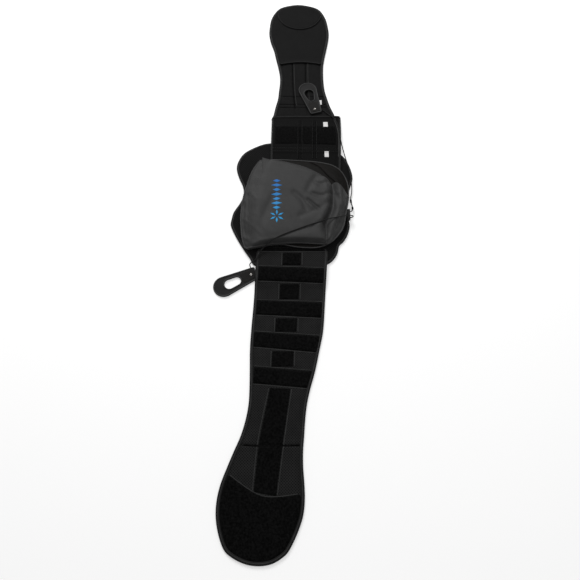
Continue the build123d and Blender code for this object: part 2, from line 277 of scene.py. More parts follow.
def plan_grid(ring, cell):
    """Triangles that fill a ring, facing up, with the ring's own points first."""
    low, high = ring.min(0), ring.max(0)
    gx, gy = np.meshgrid(np.arange(low[0], high[0], cell), np.arange(low[1], high[1], cell))
    grid = np.column_stack([gx.ravel(), gy.ravel()])
    grid = grid[inside(grid, ring)]
    grid = grid[distance(grid, ring, True) > 0.55 * cell]
    points = [Vector(p) for p in np.vstack([ring, grid])]
    n = len(ring)
    edges = [(i, (i + 1) % n) for i in range(n)]
    verts, _, triangles, _, _, _ = geometry.delaunay_2d_cdt(points, edges, [], 1, 1e-6)
    plan = np.array([tuple(v) for v in verts])
    faces = []
    for face in triangles:
        a, b, c = (plan[i] for i in face[:3])
        up = (b[0] - a[0]) * (c[1] - a[1]) - (b[1] - a[1]) * (c[0] - a[0]) > 0
        faces.append(tuple(face) if up else tuple(face[::-1]))
    return plan, faces


def closed_faces(faces, count, rim, turned):
    """Faces of a layer's two sides and its rim, from the faces of its upper side."""
    both = faces + [tuple(i + count for i in face[::-1]) for face in faces]
    for i in range(rim):
        j = (i + 1) % rim
        side = (i, i + count, j + count, j)
        both.append(side if turned else side[::-1])
    return both


def slab(name, ring, top, bottom, material, place, slot, *nodes, cell=CELL, under=None, fill=None):
    """Closed soft layer over a plan ring. top and bottom take points and distances to its edge."""
    plan, faces = plan_grid(ring, cell)
    edge = distance(plan, ring, True)
    upper = lift(plan, top(plan, edge))
    lower = lift(plan, bottom(plan, edge))
    faces = closed_faces(faces, len(plan), len(ring), signed_area(ring) > 0)
    piece = make_object(name, np.vstack([upper, lower]), faces, material)
    if under:
        piece.data.materials.append(under)
        for polygon in piece.data.polygons:
            polygon.material_index = 1 if polygon.normal.z < -0.3 else 0
    register(piece, place, slot, *nodes)
    return piece


def band(first, second, count):
    """Faces between two closed rows of points, named by the numbers of their first points."""
    pairs = [(k, (k + 1) % count) for k in range(count)]
    return [(first + k, first + l, second + l, second + k) for k, l in pairs]


def sweep(name, path, profile, material, place, slot, *nodes, closed=False, free=False):
    """Solid swept along 3-D points. The profile is (across, up) pairs, and across is to the path's right."""
    path = np.asarray(path, float)
    n, m = len(path), len(profile)
    tangent = tangents(path, closed)
    if free:
        across, over = parallel_frames(tangent)
    else:
        across = np.cross(tangent, [0, 0, 1])
        across /= np.maximum(np.linalg.norm(across, axis=1)[:, None], 1e-9)
        over = np.cross(across, tangent)
    verts = []
    for i in range(n):
        verts += [path[i] + across[i] * a + over[i] * b for a, b in profile]
    faces = []
    for i in range(n if closed else n - 1):
        faces += band(i * m, (i + 1) % n * m, m)
    if not closed:
        faces.append(tuple(range(m))[::-1])
        faces.append(tuple((n - 1) * m + k for k in range(m)))
    piece = make_object(name, verts, faces, material)
    outward_normals(piece)
    register(piece, place, slot, *nodes)
    return piece


def parallel_frames(tangent):
    """Frames that don't twist along a path."""
    across = np.zeros_like(tangent)
    first = np.cross(tangent[0], [0, 0, 1])
    if np.linalg.norm(first) < 1e-3:
        first = np.cross(tangent[0], [0, 1, 0])
    across[0] = first / np.linalg.norm(first)
    for i in range(1, len(tangent)):
        a = across[i - 1] - tangent[i] * (across[i - 1] @ tangent[i])
        across[i] = a / np.linalg.norm(a)
    return across, np.cross(across, tangent)


def outward_normals(obj):
    mesh = bmesh.new()
    mesh.from_mesh(obj.data)
    bmesh.ops.recalc_face_normals(mesh, faces=mesh.faces)
    mesh.to_mesh(obj.data)
    mesh.free()


def oval(width, height, count=12):
    """Profile of a flattened tube."""
    turn = np.linspace(0, 2 * math.pi, count, endpoint=False)
    return [(width / 2 * math.cos(t), height / 2 * math.sin(t)) for t in turn]


def folded(width, height):
    """Profile of a tape folded over an edge: nearly flat faces and rounded sides."""
    points = []
    for t in np.linspace(0, 2 * math.pi, 18, endpoint=False):
        across = math.copysign(abs(math.cos(t)) ** 0.7, math.cos(t))
        up = math.copysign(abs(math.sin(t)) ** 0.8, math.sin(t))
        points.append((width / 2 * across, height / 2 * up))
    return points


def raised(surface, by):
    """Surface moved up."""
    return lambda p: surface(p) + by


STITCH_L = 3.2
STITCH_PITCH = 4.6
STITCH_R = 0.45


def stitch_line(name, path, surface, place):
    """Row of thread stitches along an open plan path on a surface."""
    path = resample(np.asarray(path, float), STITCH_PITCH, False)
    path = lift(path, surface(path))
    verts, faces = [], []
    for a, after in zip(path[:-1], path[1:]):
        b = a + (after - a) * STITCH_L / STITCH_PITCH
        side = np.cross((b - a) / np.linalg.norm(b - a), [0, 0, STITCH_R])
        start = len(verts)
        for centre, scale in ((a, 0.5), ((a + b) / 2 + [0, 0, STITCH_R], 1.0), (b, 0.5)):
            verts += [centre - side * scale, centre + [0, 0, 0.8 * STITCH_R * scale], centre + side * scale,
                      centre - [0, 0, STITCH_R]]
        faces += band(start, start + 4, 4) + band(start + 4, start + 8, 4)
        faces.append((start, start + 3, start + 2, start + 1))
        faces.append((start + 8, start + 9, start + 10, start + 11))
    stitches = make_object(name, verts, faces, THREAD)
    outward_normals(stitches)
    register(stitches, place, "binding_tape")


LINE_SHAPE = 0.72


def line_on(name, points, surface, width, material, place, height=None, rounding=True, corners=8):
    """Fine line of cloth or thread lying on a surface that is a function of plan points."""
    path = smooth(points, 3, closed=False) if rounding else np.asarray(points, float)
    profile = oval(width, height or LINE_SHAPE * width, corners)
    sweep(name, lift(path, surface(path)), profile, material, place, "binding_tape")


BINDING_W = 8.0
BINDING_T = 5.2
EDGE_PROUD = 0.4
SEAM_IN = 4.0
SEAM_SINK = 0.1


def binding(name, path, inward, rise, place, *nodes, height=BINDING_T, closed=False):
    """Tape folded over an edge, with its seam. inward is 1 where the cloth is to the path's left."""
    normal = left_normals(path, closed) * inward
    middle = path + normal * (BINDING_W / 2 - EDGE_PROUD)
    middle = lift(middle, rise(middle) + height / 2 + FLOOR_GAP)
    sweep(name, middle, folded(BINDING_W, height), TAPE, place, "binding_tape", *nodes, closed=closed)
    seam = path + normal * SEAM_IN
    seam = lift(seam, rise(seam) + height + FLOOR_GAP - SEAM_SINK)
    sweep(name + "_seam", seam, oval(1.5, 1.0, 8), THREAD, place, "binding_tape", closed=closed)


# Materials

RIGHT_ANGLE = math.pi / 2


class Nodes:
    """A material with short calls for the nodes that the fabrics share."""

    def __init__(self, name, colour, roughness, sheen=0.0, specular=0.1, metallic=0.0):
        self.material = bpy.data.materials.new(name)
        self.material.use_nodes = True
        self.tree = self.material.node_tree
        self.shader = self.tree.nodes["Principled BSDF"]
        self.shader.inputs["Base Color"].default_value = (*colour, 1)
        self.shader.inputs["Roughness"].default_value = roughness
        self.shader.inputs["Metallic"].default_value = metallic
        self.shader.inputs["Specular IOR Level"].default_value = specular
        self.shader.inputs["Sheen Weight"].default_value = sheen
        self.shader.inputs["Sheen Roughness"].default_value = 0.45
        self.where = self.add("ShaderNodeTexCoord").outputs["Object"]

    def add(self, kind, **values):
        node = self.tree.nodes.new(kind)
        for key, value in values.items():
            setattr(node, key, value)
        return node

    def link(self, a, b):
        self.tree.links.new(a, b)

    def math(self, operation, a, b=0.5):
        node = self.add("ShaderNodeMath", operation=operation)
        for socket, value in zip(node.inputs, (a, b)):
            if isinstance(value, (int, float)):
                socket.default_value = value
            else:
                self.link(value, socket)
        return node.outputs[0]

    def along(self, axis, angle=0.0):
        """Coordinate in metres along a turned plan axis."""
        turn = self.add("ShaderNodeMapping")
        turn.inputs["Rotation"].default_value = (0, 0, angle)
        self.link(self.where, turn.inputs["Vector"])
        split = self.add("ShaderNodeSeparateXYZ")
        self.link(turn.outputs[0], split.inputs[0])
        return split.outputs[axis]

    def stripes(self, pitch, angle):
        """Sine from -1 to 1 across the plan, with the pitch in metres."""
        return self.math("SINE", self.math("MULTIPLY", self.along("X", angle), 2 * math.pi / pitch))

    def crossed(self, pitch, first=0.0, second=RIGHT_ANGLE, operation="MULTIPLY"):
        """Two sets of stripes of one pitch over each other."""
        return self.math(operation, self.stripes(pitch, first), self.stripes(pitch, second))

    def noise(self, size, detail=3.0):
        node = self.add("ShaderNodeTexNoise")
        node.inputs["Scale"].default_value = 1 / size
        node.inputs["Detail"].default_value = detail
        self.link(self.where, node.inputs["Vector"])
        return node.outputs["Fac"]

    def ranged(self, value, low, high, to_low=0.0, to_high=1.0):
        node = self.add("ShaderNodeMapRange")
        self.link(value, node.inputs["Value"])
        node.inputs["From Min"].default_value = low
        node.inputs["From Max"].default_value = high
        node.inputs["To Min"].default_value = to_low
        node.inputs["To Max"].default_value = to_high
        return node.outputs["Result"]

    def colours(self, factor, dark, light):
        ramp_node = self.add("ShaderNodeValToRGB")
        ramp_node.color_ramp.elements[0].color = (*dark, 1)
        ramp_node.color_ramp.elements[1].color = (*light, 1)
        self.link(factor, ramp_node.inputs["Fac"])
        return ramp_node.outputs["Color"]

    def base(self, colour):
        self.link(colour, self.shader.inputs["Base Color"])

    def tinted(self, value, low, high, dark, light):
        """Base colour that goes from dark to light as a value rises from low to high."""
        self.base(self.colours(self.ranged(value, low, high), dark, light))

    def blotches(self, size, dark, light):
        """Base colour that wanders between two, in patches of a size."""
        self.tinted(self.noise(size), 0.3, 0.7, dark, light)

    def rough(self, factor, low, high):
        self.link(self.ranged(factor, 0, 1, low, high), self.shader.inputs["Roughness"])

    def bump(self, height, depth, strength=1.0):
        """Depth is the relief in metres. Bumps stack."""
        node = self.add("ShaderNodeBump")
        node.inputs["Strength"].default_value = strength
        node.inputs["Distance"].default_value = depth
        self.link(height, node.inputs["Height"])
        normal = self.shader.inputs["Normal"]
        if normal.links:
            self.link(normal.links[0].from_socket, node.inputs["Normal"])
        self.link(node.outputs["Normal"], normal)


def grey(value, warmth=0.0):
    return (value * (1 + warmth), value, value * (1 - warmth))


def laminate_material(name, level):
    """Foam laminate: fine knit over soft foam."""
    m = Nodes(name, grey(level), 0.8, sheen=0.03, specular=0.12)
    m.blotches(0.018, grey(level * 0.75), grey(level * 1.3))
    m.rough(m.noise(0.018), 0.7, 0.9)
    m.bump(m.crossed(0.0013), 0.00016, 0.7)
    m.bump(m.noise(0.006), 0.0003, 0.5)
    return m.material


def mesh_material(name, level):
    """Spacer mesh: staggered open holes, their floors darkened as painted shade."""
    m = Nodes(name, grey(level), 0.85, sheen=0.04, specular=0.12)
    holes = m.ranged(m.crossed(0.0056), 0.12, 0.6)
    shade = m.add("ShaderNodeMix", data_type="RGBA")
    m.link(holes, shade.inputs["Factor"])
    patches = m.ranged(m.noise(0.03), 0.3, 0.7)
    m.link(m.colours(patches, grey(level * 0.85), grey(level * 1.2)), shade.inputs["A"])
    # Painted shade: the hole floors are nearly black, for the shade down inside the holes.
    shade.inputs["B"].default_value = (*grey(level * 0.15), 1)
    m.base(shade.outputs["Result"])
    m.bump(m.math("MULTIPLY", holes, -1), 0.0012, 1.0)
    m.bump(m.noise(0.0012), 0.0002, 0.5)
    return m.material


def loop_material(level):
    """Brushed loop: soft clumps and fine fibres."""
    m = Nodes("loop_fabric", grey(level), 0.95, sheen=0.02, specular=0.04)
    clumps = m.noise(0.0035, 4)
    m.tinted(clumps, 0.35, 0.7, grey(level * 0.5), grey(level * 2.1))
    m.bump(clumps, 0.0009, 0.8)
    m.bump(m.noise(0.0007, 2), 0.0004, 0.8)
    return m.material


def tape_material(name, level):
    """Woven tape with a fine slanted rib."""
    m = Nodes(name, grey(level), 0.6, sheen=0.06, specular=0.2)
    m.blotches(0.012, grey(level * 0.75), grey(level * 1.3))
    m.bump(m.stripes(0.0012, 0.4), 0.00018, 0.6)
    m.bump(m.noise(0.0015), 0.0002, 0.4)
    return m.material


def nylon_material(name, level, warmth=0.0, shine=1.0):
    """Coated woven nylon: fine crossed threads, satin where it is creased."""
    m = Nodes(name, grey(level, warmth), 0.5, sheen=0.06 * shine, specular=0.3 * shine)
    m.blotches(0.05, grey(level * 0.86, warmth), grey(level * 1.14, warmth))
    m.rough(m.noise(0.05), 0.42, 0.6)
    m.bump(m.crossed(0.0008, operation="ADD"), 0.00006, 0.5)
    m.bump(m.noise(0.009), 0.0005, 0.35)
    return m.material


def plastic_material(name, level):
    """Moulded plastic with a fine spark-eroded grain."""
    m = Nodes(name, grey(level), 0.5, specular=0.1)
    grain = m.noise(0.0009, 2)
    m.blotches(0.02, grey(level * 0.88), grey(level * 1.12))
    m.rough(grain, 0.42, 0.62)
    m.bump(grain, 0.00008, 0.5)
    return m.material


def knit_material(level):
    m = Nodes("tab_knit", grey(level, 0.04), 0.8, sheen=0.06, specular=0.12)
    knit = m.crossed(0.0018, 0.5, 0.5 + RIGHT_ANGLE)
    m.tinted(knit, -0.8, 0.8, grey(level * 0.5, 0.04), grey(level * 1.4, 0.04))
    m.bump(knit, 0.0004, 0.9)
    return m.material


def hook_material(level):
    m = Nodes("hook_tape", grey(level), 0.5, specular=0.2)
    rows = m.crossed(0.0014)
    m.tinted(rows, 0.0, 0.8, grey(level * 0.6), grey(level * 3))
    m.bump(rows, 0.0006, 0.9)
    return m.material


def metal_material(level):
    m = Nodes("plated_metal", grey(level, 0.05), 0.3, metallic=1.0, specular=0.5)
    m.rough(m.noise(0.002), 0.22, 0.42)
    m.bump(m.noise(0.0008), 0.00004, 0.4)
    return m.material


def tag_material(level):
    m = Nodes("white_tag", grey(level), 0.7, specular=0.2)
    m.blotches(0.004, grey(level * 0.9, 0.01), grey(level * 1.05, 0.01))
    m.bump(m.crossed(0.0006, operation="ADD"), 0.00006, 0.5)
    return m.material


def cord_material(level):
    m = Nodes("braided_cord", grey(level), 0.6, sheen=0.05, specular=0.2)
    braid = m.crossed(0.0014, 0.9, -0.9)
    m.tinted(braid, -0.6, 0.8, grey(level * 0.6), grey(level * 2.2))
    m.bump(braid, 0.0002, 0.8)
    return m.material


def print_material():
    """Screen print that turns from light to deep blue along the pouch."""
    m = Nodes("blue_print", (0.03, 0.3, 0.7), 0.55, specular=0.2)
    m.tinted(m.along("Y"), -0.02, 0.1, (0.05, 0.42, 0.82), (0.03, 0.17, 0.55))
    m.bump(m.stripes(0.0008, 0.0), 0.00006, 0.5)
    m.bump(m.noise(0.002), 0.00005, 0.3)
    return m.material


def gel_material(level):
    m = Nodes("gel_film", grey(level), 0.25, specular=0.5)
    m.blotches(0.015, grey(level * 0.7), grey(level * 1.4))
    m.bump(m.noise(0.012), 0.001, 0.5)
    return m.material


LAMINATE = laminate_material("foam_laminate", 0.0075)
PAD_FABRIC = mesh_material("pad_fabric", 0.0085)
PANEL_FABRIC = laminate_material("panel_laminate", 0.0032)
LINING = laminate_material("lining_knit", 0.012)
MESH = mesh_material("spacer_mesh", 0.021)
LOOP = loop_material(0.004)
TAPE = tape_material("binding_tape", 0.01)
THREAD = tape_material("seam_thread", 0.043)
NYLON = nylon_material("pouch_nylon", 0.029)
# Dark warm copy of the pouch nylon: the brownish tone is the sheet's own, and its darkness is painted shade
# for the back sheet below the front sheet's edge.
NYLON_BACK_SHADED = nylon_material("pouch_nylon_back_shaded", 0.006, 0.12, shine=0.3)
HEM = nylon_material("pouch_hem", 0.045)
TAB = plastic_material("tab_plastic", 0.02)
# Light copy of the tab plastic: painted highlight for the thin lines along the tabs' rims.
TAB_RIM_HIGHLIGHT = plastic_material("tab_rim_highlight", 0.085)
MECHANISM = plastic_material("mechanism_plastic", 0.02)
KNIT = knit_material(0.026)
HOOK = hook_material(0.008)
METAL = metal_material(0.4)
TAG = tag_material(0.93)
CORD = cord_material(0.008)
PRINT = print_material()
GEL = gel_material(0.008)


# Undersides of the wings, which come down off the pad to the floor

LONG_RISE_Y = (-186, -147)
SHORT_RISE_Y = (248, 316)


def long_rise(p):
    return RISE * ramp(p[:, 1], *LONG_RISE_Y)


def short_rise(p):
    return RISE * (1 - ramp(p[:, 1], *SHORT_RISE_Y))


def flat_rise(p):
    return np.zeros(len(p))


# Outlines

PAD_EDGE = [(30, 234), (-38, 229), (-62, 224), (-93, 208), (-110, 193), (-121, 171), (-124, 150),
            (-118, 126), (-107, 99), (-104, 81), (-106, 64), (-113, 47), (-126, 24), (-131, 2),
            (-132, -12), (-126, -28), (-114, -52), (-98, -79), (-84, -100), (-71, -119), (-30, -130),
            (15, -133), (62, -128), (101, -113), (119, -92), (126, -68), (137, -56), (147, -38),
            (153, -15), (151, 6), (148, 28), (148, 50), (153, 74), (159, 95), (164.5, 112), (166, 128),
            (162, 150), (153, 174), (141, 192), (108, 215), (70, 228)]

PANEL_EDGE = [(-36.5, 311), (-25, 314.6), (50, 315.8), (128, 316.2), (141, 315), (143.5, 310),
              (142.5, 300), (141, 243), (138, 180), (134, 110), (128, 100), (-33, 100), (-38, 106),
              (-38, 180), (-37.6, 243), (-37.4, 304)]

FRONT_EDGE = [(-36, 302), (-33, 322), (-28, 349), (-22, 376), (-19.5, 404), (-17, 433), (-18, 461),
              (-23, 491), (-29, 520), (-35, 551), (-44, 581), (-49, 613), (-48, 644), (-43, 677),
              (-28, 708), (-8, 724), (34, 733), (76, 724), (98, 709), (113, 677), (119, 644), (121, 613),
              (117.5, 581), (112, 551), (106, 520), (102, 491), (101, 461), (101.5, 433), (104, 404),
              (110, 376), (117, 349), (127, 322), (131, 302), (90, 299), (10, 299)]

WING_EDGE = [(60, -74), (17, -73), (-45, -73), (-61, -78), (-67, -90), (-69, -123), (-71, -203),
             (-75, -274), (-76.5, -319), (-75.5, -368), (-75, -406), (-76, -437), (-81, -468), (-90, -500),
             (-103, -531), (-115, -561), (-126, -591), (-132, -620), (-132.5, -648), (-127, -676),
             (-116, -703), (-102, -717), (-76, -729), (-50, -733), (-24, -729.5), (-1, -717), (11, -703),
             (25, -676), (35, -648), (38.5, -620), (38, -591), (36, -561), (36, -531), (38.5, -500),
             (41, -468), (45, -437), (52, -406), (63, -368), (74, -319), (83, -274), (89, -203),
             (95, -123), (97.5, -92), (92, -78)]


# Back pad

PAD_BINDING_T = 5.7


def make_pad():
    ring = smooth(PAD_EDGE, 3.5)

    def top(p, edge):
        puff = 0.5 * ramp(edge, 6, 50) + 0.3 * waves(p[:, 0], p[:, 1], 3, 120)
        return PAD_TOP - 0.5 + 0.6 * puff - 0.8 * ridge(edge - 10, 2.5) - 2.2 * rounded(edge, 8)

    def bottom(p, edge):
        return SOLE_Z + 1.8 * rounded(edge, 5)

    slab("pad_body", ring, top, bottom, PAD_FABRIC, "back_pad", "foam_laminate", "pad_lining", "pad_shell",
         cell=4.0, under=LINING, fill=0.4)
    binding("pad_edge_binding", ring, 1, flat_rise, "back_pad", "pad_binding", height=PAD_BINDING_T,
            closed=True)


# Short wing: side panel

# Middle lines of the stay channels, and the Y of the two seams across them
RIBS = (((36.3, 300), (35, 176)), ((74.3, 300), (72, 176)))
RIB_HALF_W = 3.4
CROSS_ROWS = (209.4, 199.6)
OUTER_LAYER_Y = (192, 196)


def panel_surface(p):
    """Top of the side panel, without its quilting."""
    return short_rise(p) + WING_T + OUTER_T * ramp(p[:, 1], *OUTER_LAYER_Y)


def make_side_panel():
    ring = smooth(PANEL_EDGE, 2.5)
    rib_lines = [[(x + side, y) for x, y in rib] for rib in RIBS for side in (-RIB_HALF_W, RIB_HALF_W)]
    cross_lines = [[(-33, y), (134, y - 2.5)] for y in CROSS_ROWS]

    def top(p, edge):
        z = panel_surface(p) + 0.25 * waves(p[:, 0], p[:, 1], 11, 70)
        z += seams(p, rib_lines, 1.8, 1.5) + seams(p, cross_lines, 1.6, 1.0)
        return z - 0.7 * ridge(edge - 9, 2.2) - 1.6 * rounded(edge, 4)

    def bottom(p, edge):
        return short_rise(p) + FLOOR_GAP + 1.2 * rounded(edge, 4)

    slab("panel_body", ring, top, bottom, PANEL_FABRIC, "short_side", "foam_laminate", "side_panel",
         "side_panel_outer", cell=FINE_CELL, fill=0.5)
    make_panel_loop(rib_lines)
    make_panel_edges()
    for index, line in enumerate(rib_lines):
        beside = [(x + (1.8 if index % 2 else -1.8), y) for x, y in line]
        line_on(f"panel_rib_seam_{index}", line, raised(panel_surface, -0.55), 1.7, LOOP, "short_side")
        stitch_line(f"panel_rib_stitch_{index}", beside, panel_surface, "short_side")
    for index, line in enumerate(cross_lines):
        stitch_line(f"panel_cross_stitch_{index}", line, raised(panel_surface, -0.3), "short_side")


def make_panel_loop(rib_lines):
    """Field of loop fabric across the panel, pressed in along the stay channels."""
    ring = smooth([(-28, 278), (-28, 250), (-28, 223.5), (-26, 221.5), (50, 220.5), (124, 218), (127, 220),
                   (128, 250), (127.5, 277), (125, 280), (50, 280), (-26, 280)], 2.5)

    def top(p, edge):
        z = panel_surface(p) + 0.8 * (1 - rounded(edge, 2.5)) + 0.2 * waves(p[:, 0], p[:, 1], 5, 14)
        return z + seams(p, rib_lines, 1.8, 1.7)

    slab("panel_loop", ring, top, lambda p, edge: panel_surface(p) - 2.2, LOOP, "short_side", "loop_fabric",
         "side_panel_loop", cell=FINE_CELL)


def make_panel_edges():
    """Tape down both sides, the folded top edge and the seam of the cord's channel."""
    sides = {
        "panel_binding_left": [(-36, 104), (-36.2, 180), (-35.6, 243), (-35, 308)],
        "panel_binding_right": [(132, 104), (136, 180), (139, 243), (140.6, 300), (140.8, 312)],
    }
    for name, points in sides.items():
        path = smooth(points, 3, closed=False)
        path = lift(path, short_rise(path) + 3.4)
        sweep(name, path, folded(6.0, 6.2), TAPE, "short_side", "binding_tape", "side_panel_binding")
    hem = [(-35.5, 309), (-30, 312), (-10, 313.4), (40, 314.2), (90, 314.6), (130, 314.9), (141, 313)]
    seam = [(123, 312), (127, 300), (131, 284), (134, 264), (135.3, 246), (135.3, 220), (133, 180)]
    surface = raised(panel_surface, 0.1)
    line_on("panel_folded_edge", hem, surface, 4.2, TAPE, "short_side", height=2.4, corners=12)
    line_on("panel_channel_seam", seam, surface, 2.6, THREAD, "short_side", height=1.4, corners=12)


# Each tag's x and y ranges, its body and its CAD node
TAGS = {
    "panel_size_tag": (((97, 109), (276.5, 295)), "short_side", "side_panel_tags"),
    "panel_root_tag": (((97.6, 108.4), (180, 197)), "short_side", "side_panel_tags"),
    "front_size_tag": (((85.6, 95.2), (355.5, 371.5)), "front", "front_tag"),
}


def make_tags():
    """Blank woven tags, sewn down at one end."""
    for name, (((x0, x1), (y0, y1)), body, node) in TAGS.items():
        surface = panel_surface if body == "short_side" else front_surface
        ring = polygon([(x0, y0), (x1, y0), (x1, y1), (x0, y1)], 1.6)

        def top(p, edge):
            loose = 0.5 * ramp(y1 - p[:, 1], 3, 14)
            return surface(p) + 0.55 + loose - 0.15 * rounded(edge, 1.2)

        slab(name, ring, top, lambda p, edge: top(p, edge) - 0.4, TAG, body, "tag_fabric", node, cell=1.6)


# Short wing: front piece

NECK_RIBS = ([(25, 322), (22.9, 352), (19.6, 390), (18, 428), (17, 468), (16.5, 503)],
             [(58, 322), (56, 352), (54.5, 390), (52.8, 436), (52.6, 468), (53, 503)])
NECK_ROWS = ([(-15, 386), (20, 384.6), (107, 385)], [(-22, 359), (43, 357), (112, 358)],
             [(-22, 348), (43, 347), (114, 349)])
# Circles of the pocket's mouth and of the end patch, as centre and radius
MOUTH = ((40, 305.5), 200.0)
END_PATCH = ((38, 694), 63.0)
TAB_ROOM = 0.35
FRONT_PLACE = fold_place("short_side", "front", FRONT_FOLD_Y + 1, 8, 3)


def front_surface(p):
    """Top of the front piece, which the short pull tab slides over."""
    return np.full(len(p), WING_T - TAB_ROOM)


def make_front_piece():
    ring = smooth(FRONT_EDGE)

    def top(p, edge):
        z = front_surface(p) + 0.2 * waves(p[:, 0], p[:, 1], 21, 60)
        z = 2.5 + (z - 2.5) * ramp(p[:, 1], 296, 318)
        z += seams(p, NECK_RIBS, 2.2, 2.2) + seams(p, NECK_ROWS, 1.6, 1.0)
        for rib in NECK_RIBS:
            z += 0.3 * ridge(distance(p, np.array(rib) + [7, 0]), 3)
        return z - 1.0 * ridge(edge - 10.5, 2.4) - 2.0 * rounded(edge, 6)

    def bottom(p, edge):
        return SOLE_Z + 1.6 * rounded(edge, 5)

    slab("front_body", ring, top, bottom, LAMINATE, FRONT_PLACE, "foam_laminate", "front_piece",
         cell=FINE_CELL, under=LINING, fill=0.45)
    edge_path = ring_side(ring, FRONT_FOLD_Y - 12, True)
    inward = np.sign(signed_area(ring))
    binding("front_edge_binding", edge_path, inward, flat_rise, FRONT_PLACE, "front_binding")
    make_hand_pocket(ring)
    for index, (rib, shift) in enumerate(zip(NECK_RIBS, (4.6, 6.8))):
        rib = [(x, y) for x, y in rib if y > 340]
        beside = [(x + shift, y) for x, y in rib]
        line_on(f"neck_groove_{index}", rib, raised(front_surface, -1.5), 3.2, LOOP, "front")
        line_on(f"neck_seam_{index}", beside, raised(front_surface, 0.05), 1.1, THREAD, "front")
    for index, row in enumerate(NECK_ROWS):
        row = np.array(row) * [0.9, 1] + [4, 0]
        line_on(f"neck_row_{index}", row, raised(front_surface, -0.7), 1.8, LOOP, "front")
    make_front_hook()


def make_hand_pocket(ring):
    """Second layer with a raised folded mouth, and the padded patch at its end."""
    centre, radius = np.array(MOUTH[0]), MOUTH[1]
    inner = inset_ring(ring, BINDING_W - 1.5)
    from_centre = np.linalg.norm(inner - centre, axis=1)
    outer = stretch(inner, (from_centre > radius) & (inner[:, 1] > 450))
    ends = [math.atan2(*(point - centre)[::-1]) for point in (outer[-1], outer[0])]
    mouth = arc_line(centre, radius, *ends)[1:-1]

    def from_patch(p):
        return np.linalg.norm(p - END_PATCH[0], axis=1) - END_PATCH[1]

    def top(p, edge):
        to_mouth = np.linalg.norm(p - centre, axis=1) - radius
        z = WING_T + 1.2 + 0.4 * waves(p[:, 0], p[:, 1], 31, 80) + 1.9 * ridge(to_mouth - 2, 6)
        to_side = np.where(to_mouth < 8, 20.0, edge)
        z -= 1.4 * rounded(to_side, 6)
        on_patch = 1 - ramp(from_patch(p), -3.5, 0)
        return z + 1.9 * on_patch - 1.0 * ridge(from_patch(p) - 2.2, 2.2)

    slab("hand_pocket_layer", np.vstack([outer, mouth]), top, lambda p, edge: front_surface(p) - 2.6,
         LAMINATE, "front", "foam_laminate", "hand_pocket", "front_end_patch", cell=FINE_CELL, fill=0.4)
    rim = arc_line(*END_PATCH, math.pi, 2 * math.pi, 90)
    rim = rim[inside(rim, inset_ring(ring, BINDING_W + 3))]
    lips = {
        "hand_pocket_lip": (mouth, WING_T + 2.9, oval(3.6, 2.6)),
        "end_patch_rim": (rim - [0, -1.6], WING_T + 3.0, oval(2.2, 1.3)),
    }
    for name, (path, z, profile) in lips.items():
        sweep(name, lift(path, z), profile, TAPE, "front", "binding_tape")


def make_front_hook():
    """Hook patch on the side that faces the floor, which fastens to the long wing's loops."""
    ring = np.array(oval(132, 152, 60)) + [36, 640]
    slab("front_hook_patch", ring, lambda p, edge: 1.0,
         lambda p, edge: 0.04 + 0.4 * rounded(edge, 2), HOOK, "front", "hook_tape", "front_hook", cell=4)


# Long wing

# Strips across the wing as four corners, and the squares between them as left, right, top and bottom
STRIPS = [
    [(-62, -125), (89, -130), (87, -164), (-63, -158)],
    [(-66, -206), (84, -211), (81, -246), (-66, -238)],
    [(-69, -280), (77, -290), (70, -325), (-69, -312)],
    [(-67, -358), (57, -368), (47, -402), (-68, -392)],
]
SQUARES = [(-6, 36, -89, -121.5), (-12.5, 31, -166.5, -203), (-21, 25.5, -247.5, -279.5),
           (-28, 17.5, -323, -357.5)]
LONG_STRIP = [(-32, -402.5), (11, -404), (-4, -508), (-17, -613), (-61, -606), (-52, -508)]
PATCH_LINE = [(-118, -571), (-109, -576), (-92, -588), (-74, -600), (-57, -609), (-38, -615),
              (-16, -615.5), (10, -613), (36, -609)]
CREASE = [(-92, -517.5), (-52, -519.5), (-4, -519), (40, -518)]
SEAM_OFF = 2.6
ROOT_SEAM_Y = -84
ROOT_PLACE = fold_place("long_root", "wing", WING_FOLD_Y, 10, 3)
END_PLACE = fold_place("wing", "end", END_FOLD_Y, 10, 3)
ROOT_STRIP = [(-54, -75.5), (88, -75.5), (92, -84.5), (-61, -84)]
LONG_SEAMS = {
    "long_seam_left": ([(-34.6, -403), (-54.6, -508), (-63.6, -604)], END_PLACE),
    "long_seam_right": ([(13.6, -405), (-1.4, -508), (-14.4, -612)], END_PLACE),
    "root_top_seam": ([(-58, -86), (10, -87), (90, -86.5)], "long_root"),
}


def wing_surface(p):
    """Top of the long wing, with the crease where its end folds."""
    crease_x, crease_y = zip(*CREASE)
    off = p[:, 1] - np.interp(p[:, 0], crease_x, crease_y)
    return long_rise(p) + WING_T + 0.5 * ridge(np.abs(off) - 6, 4) - 1.7 * ridge(off, 2.0)


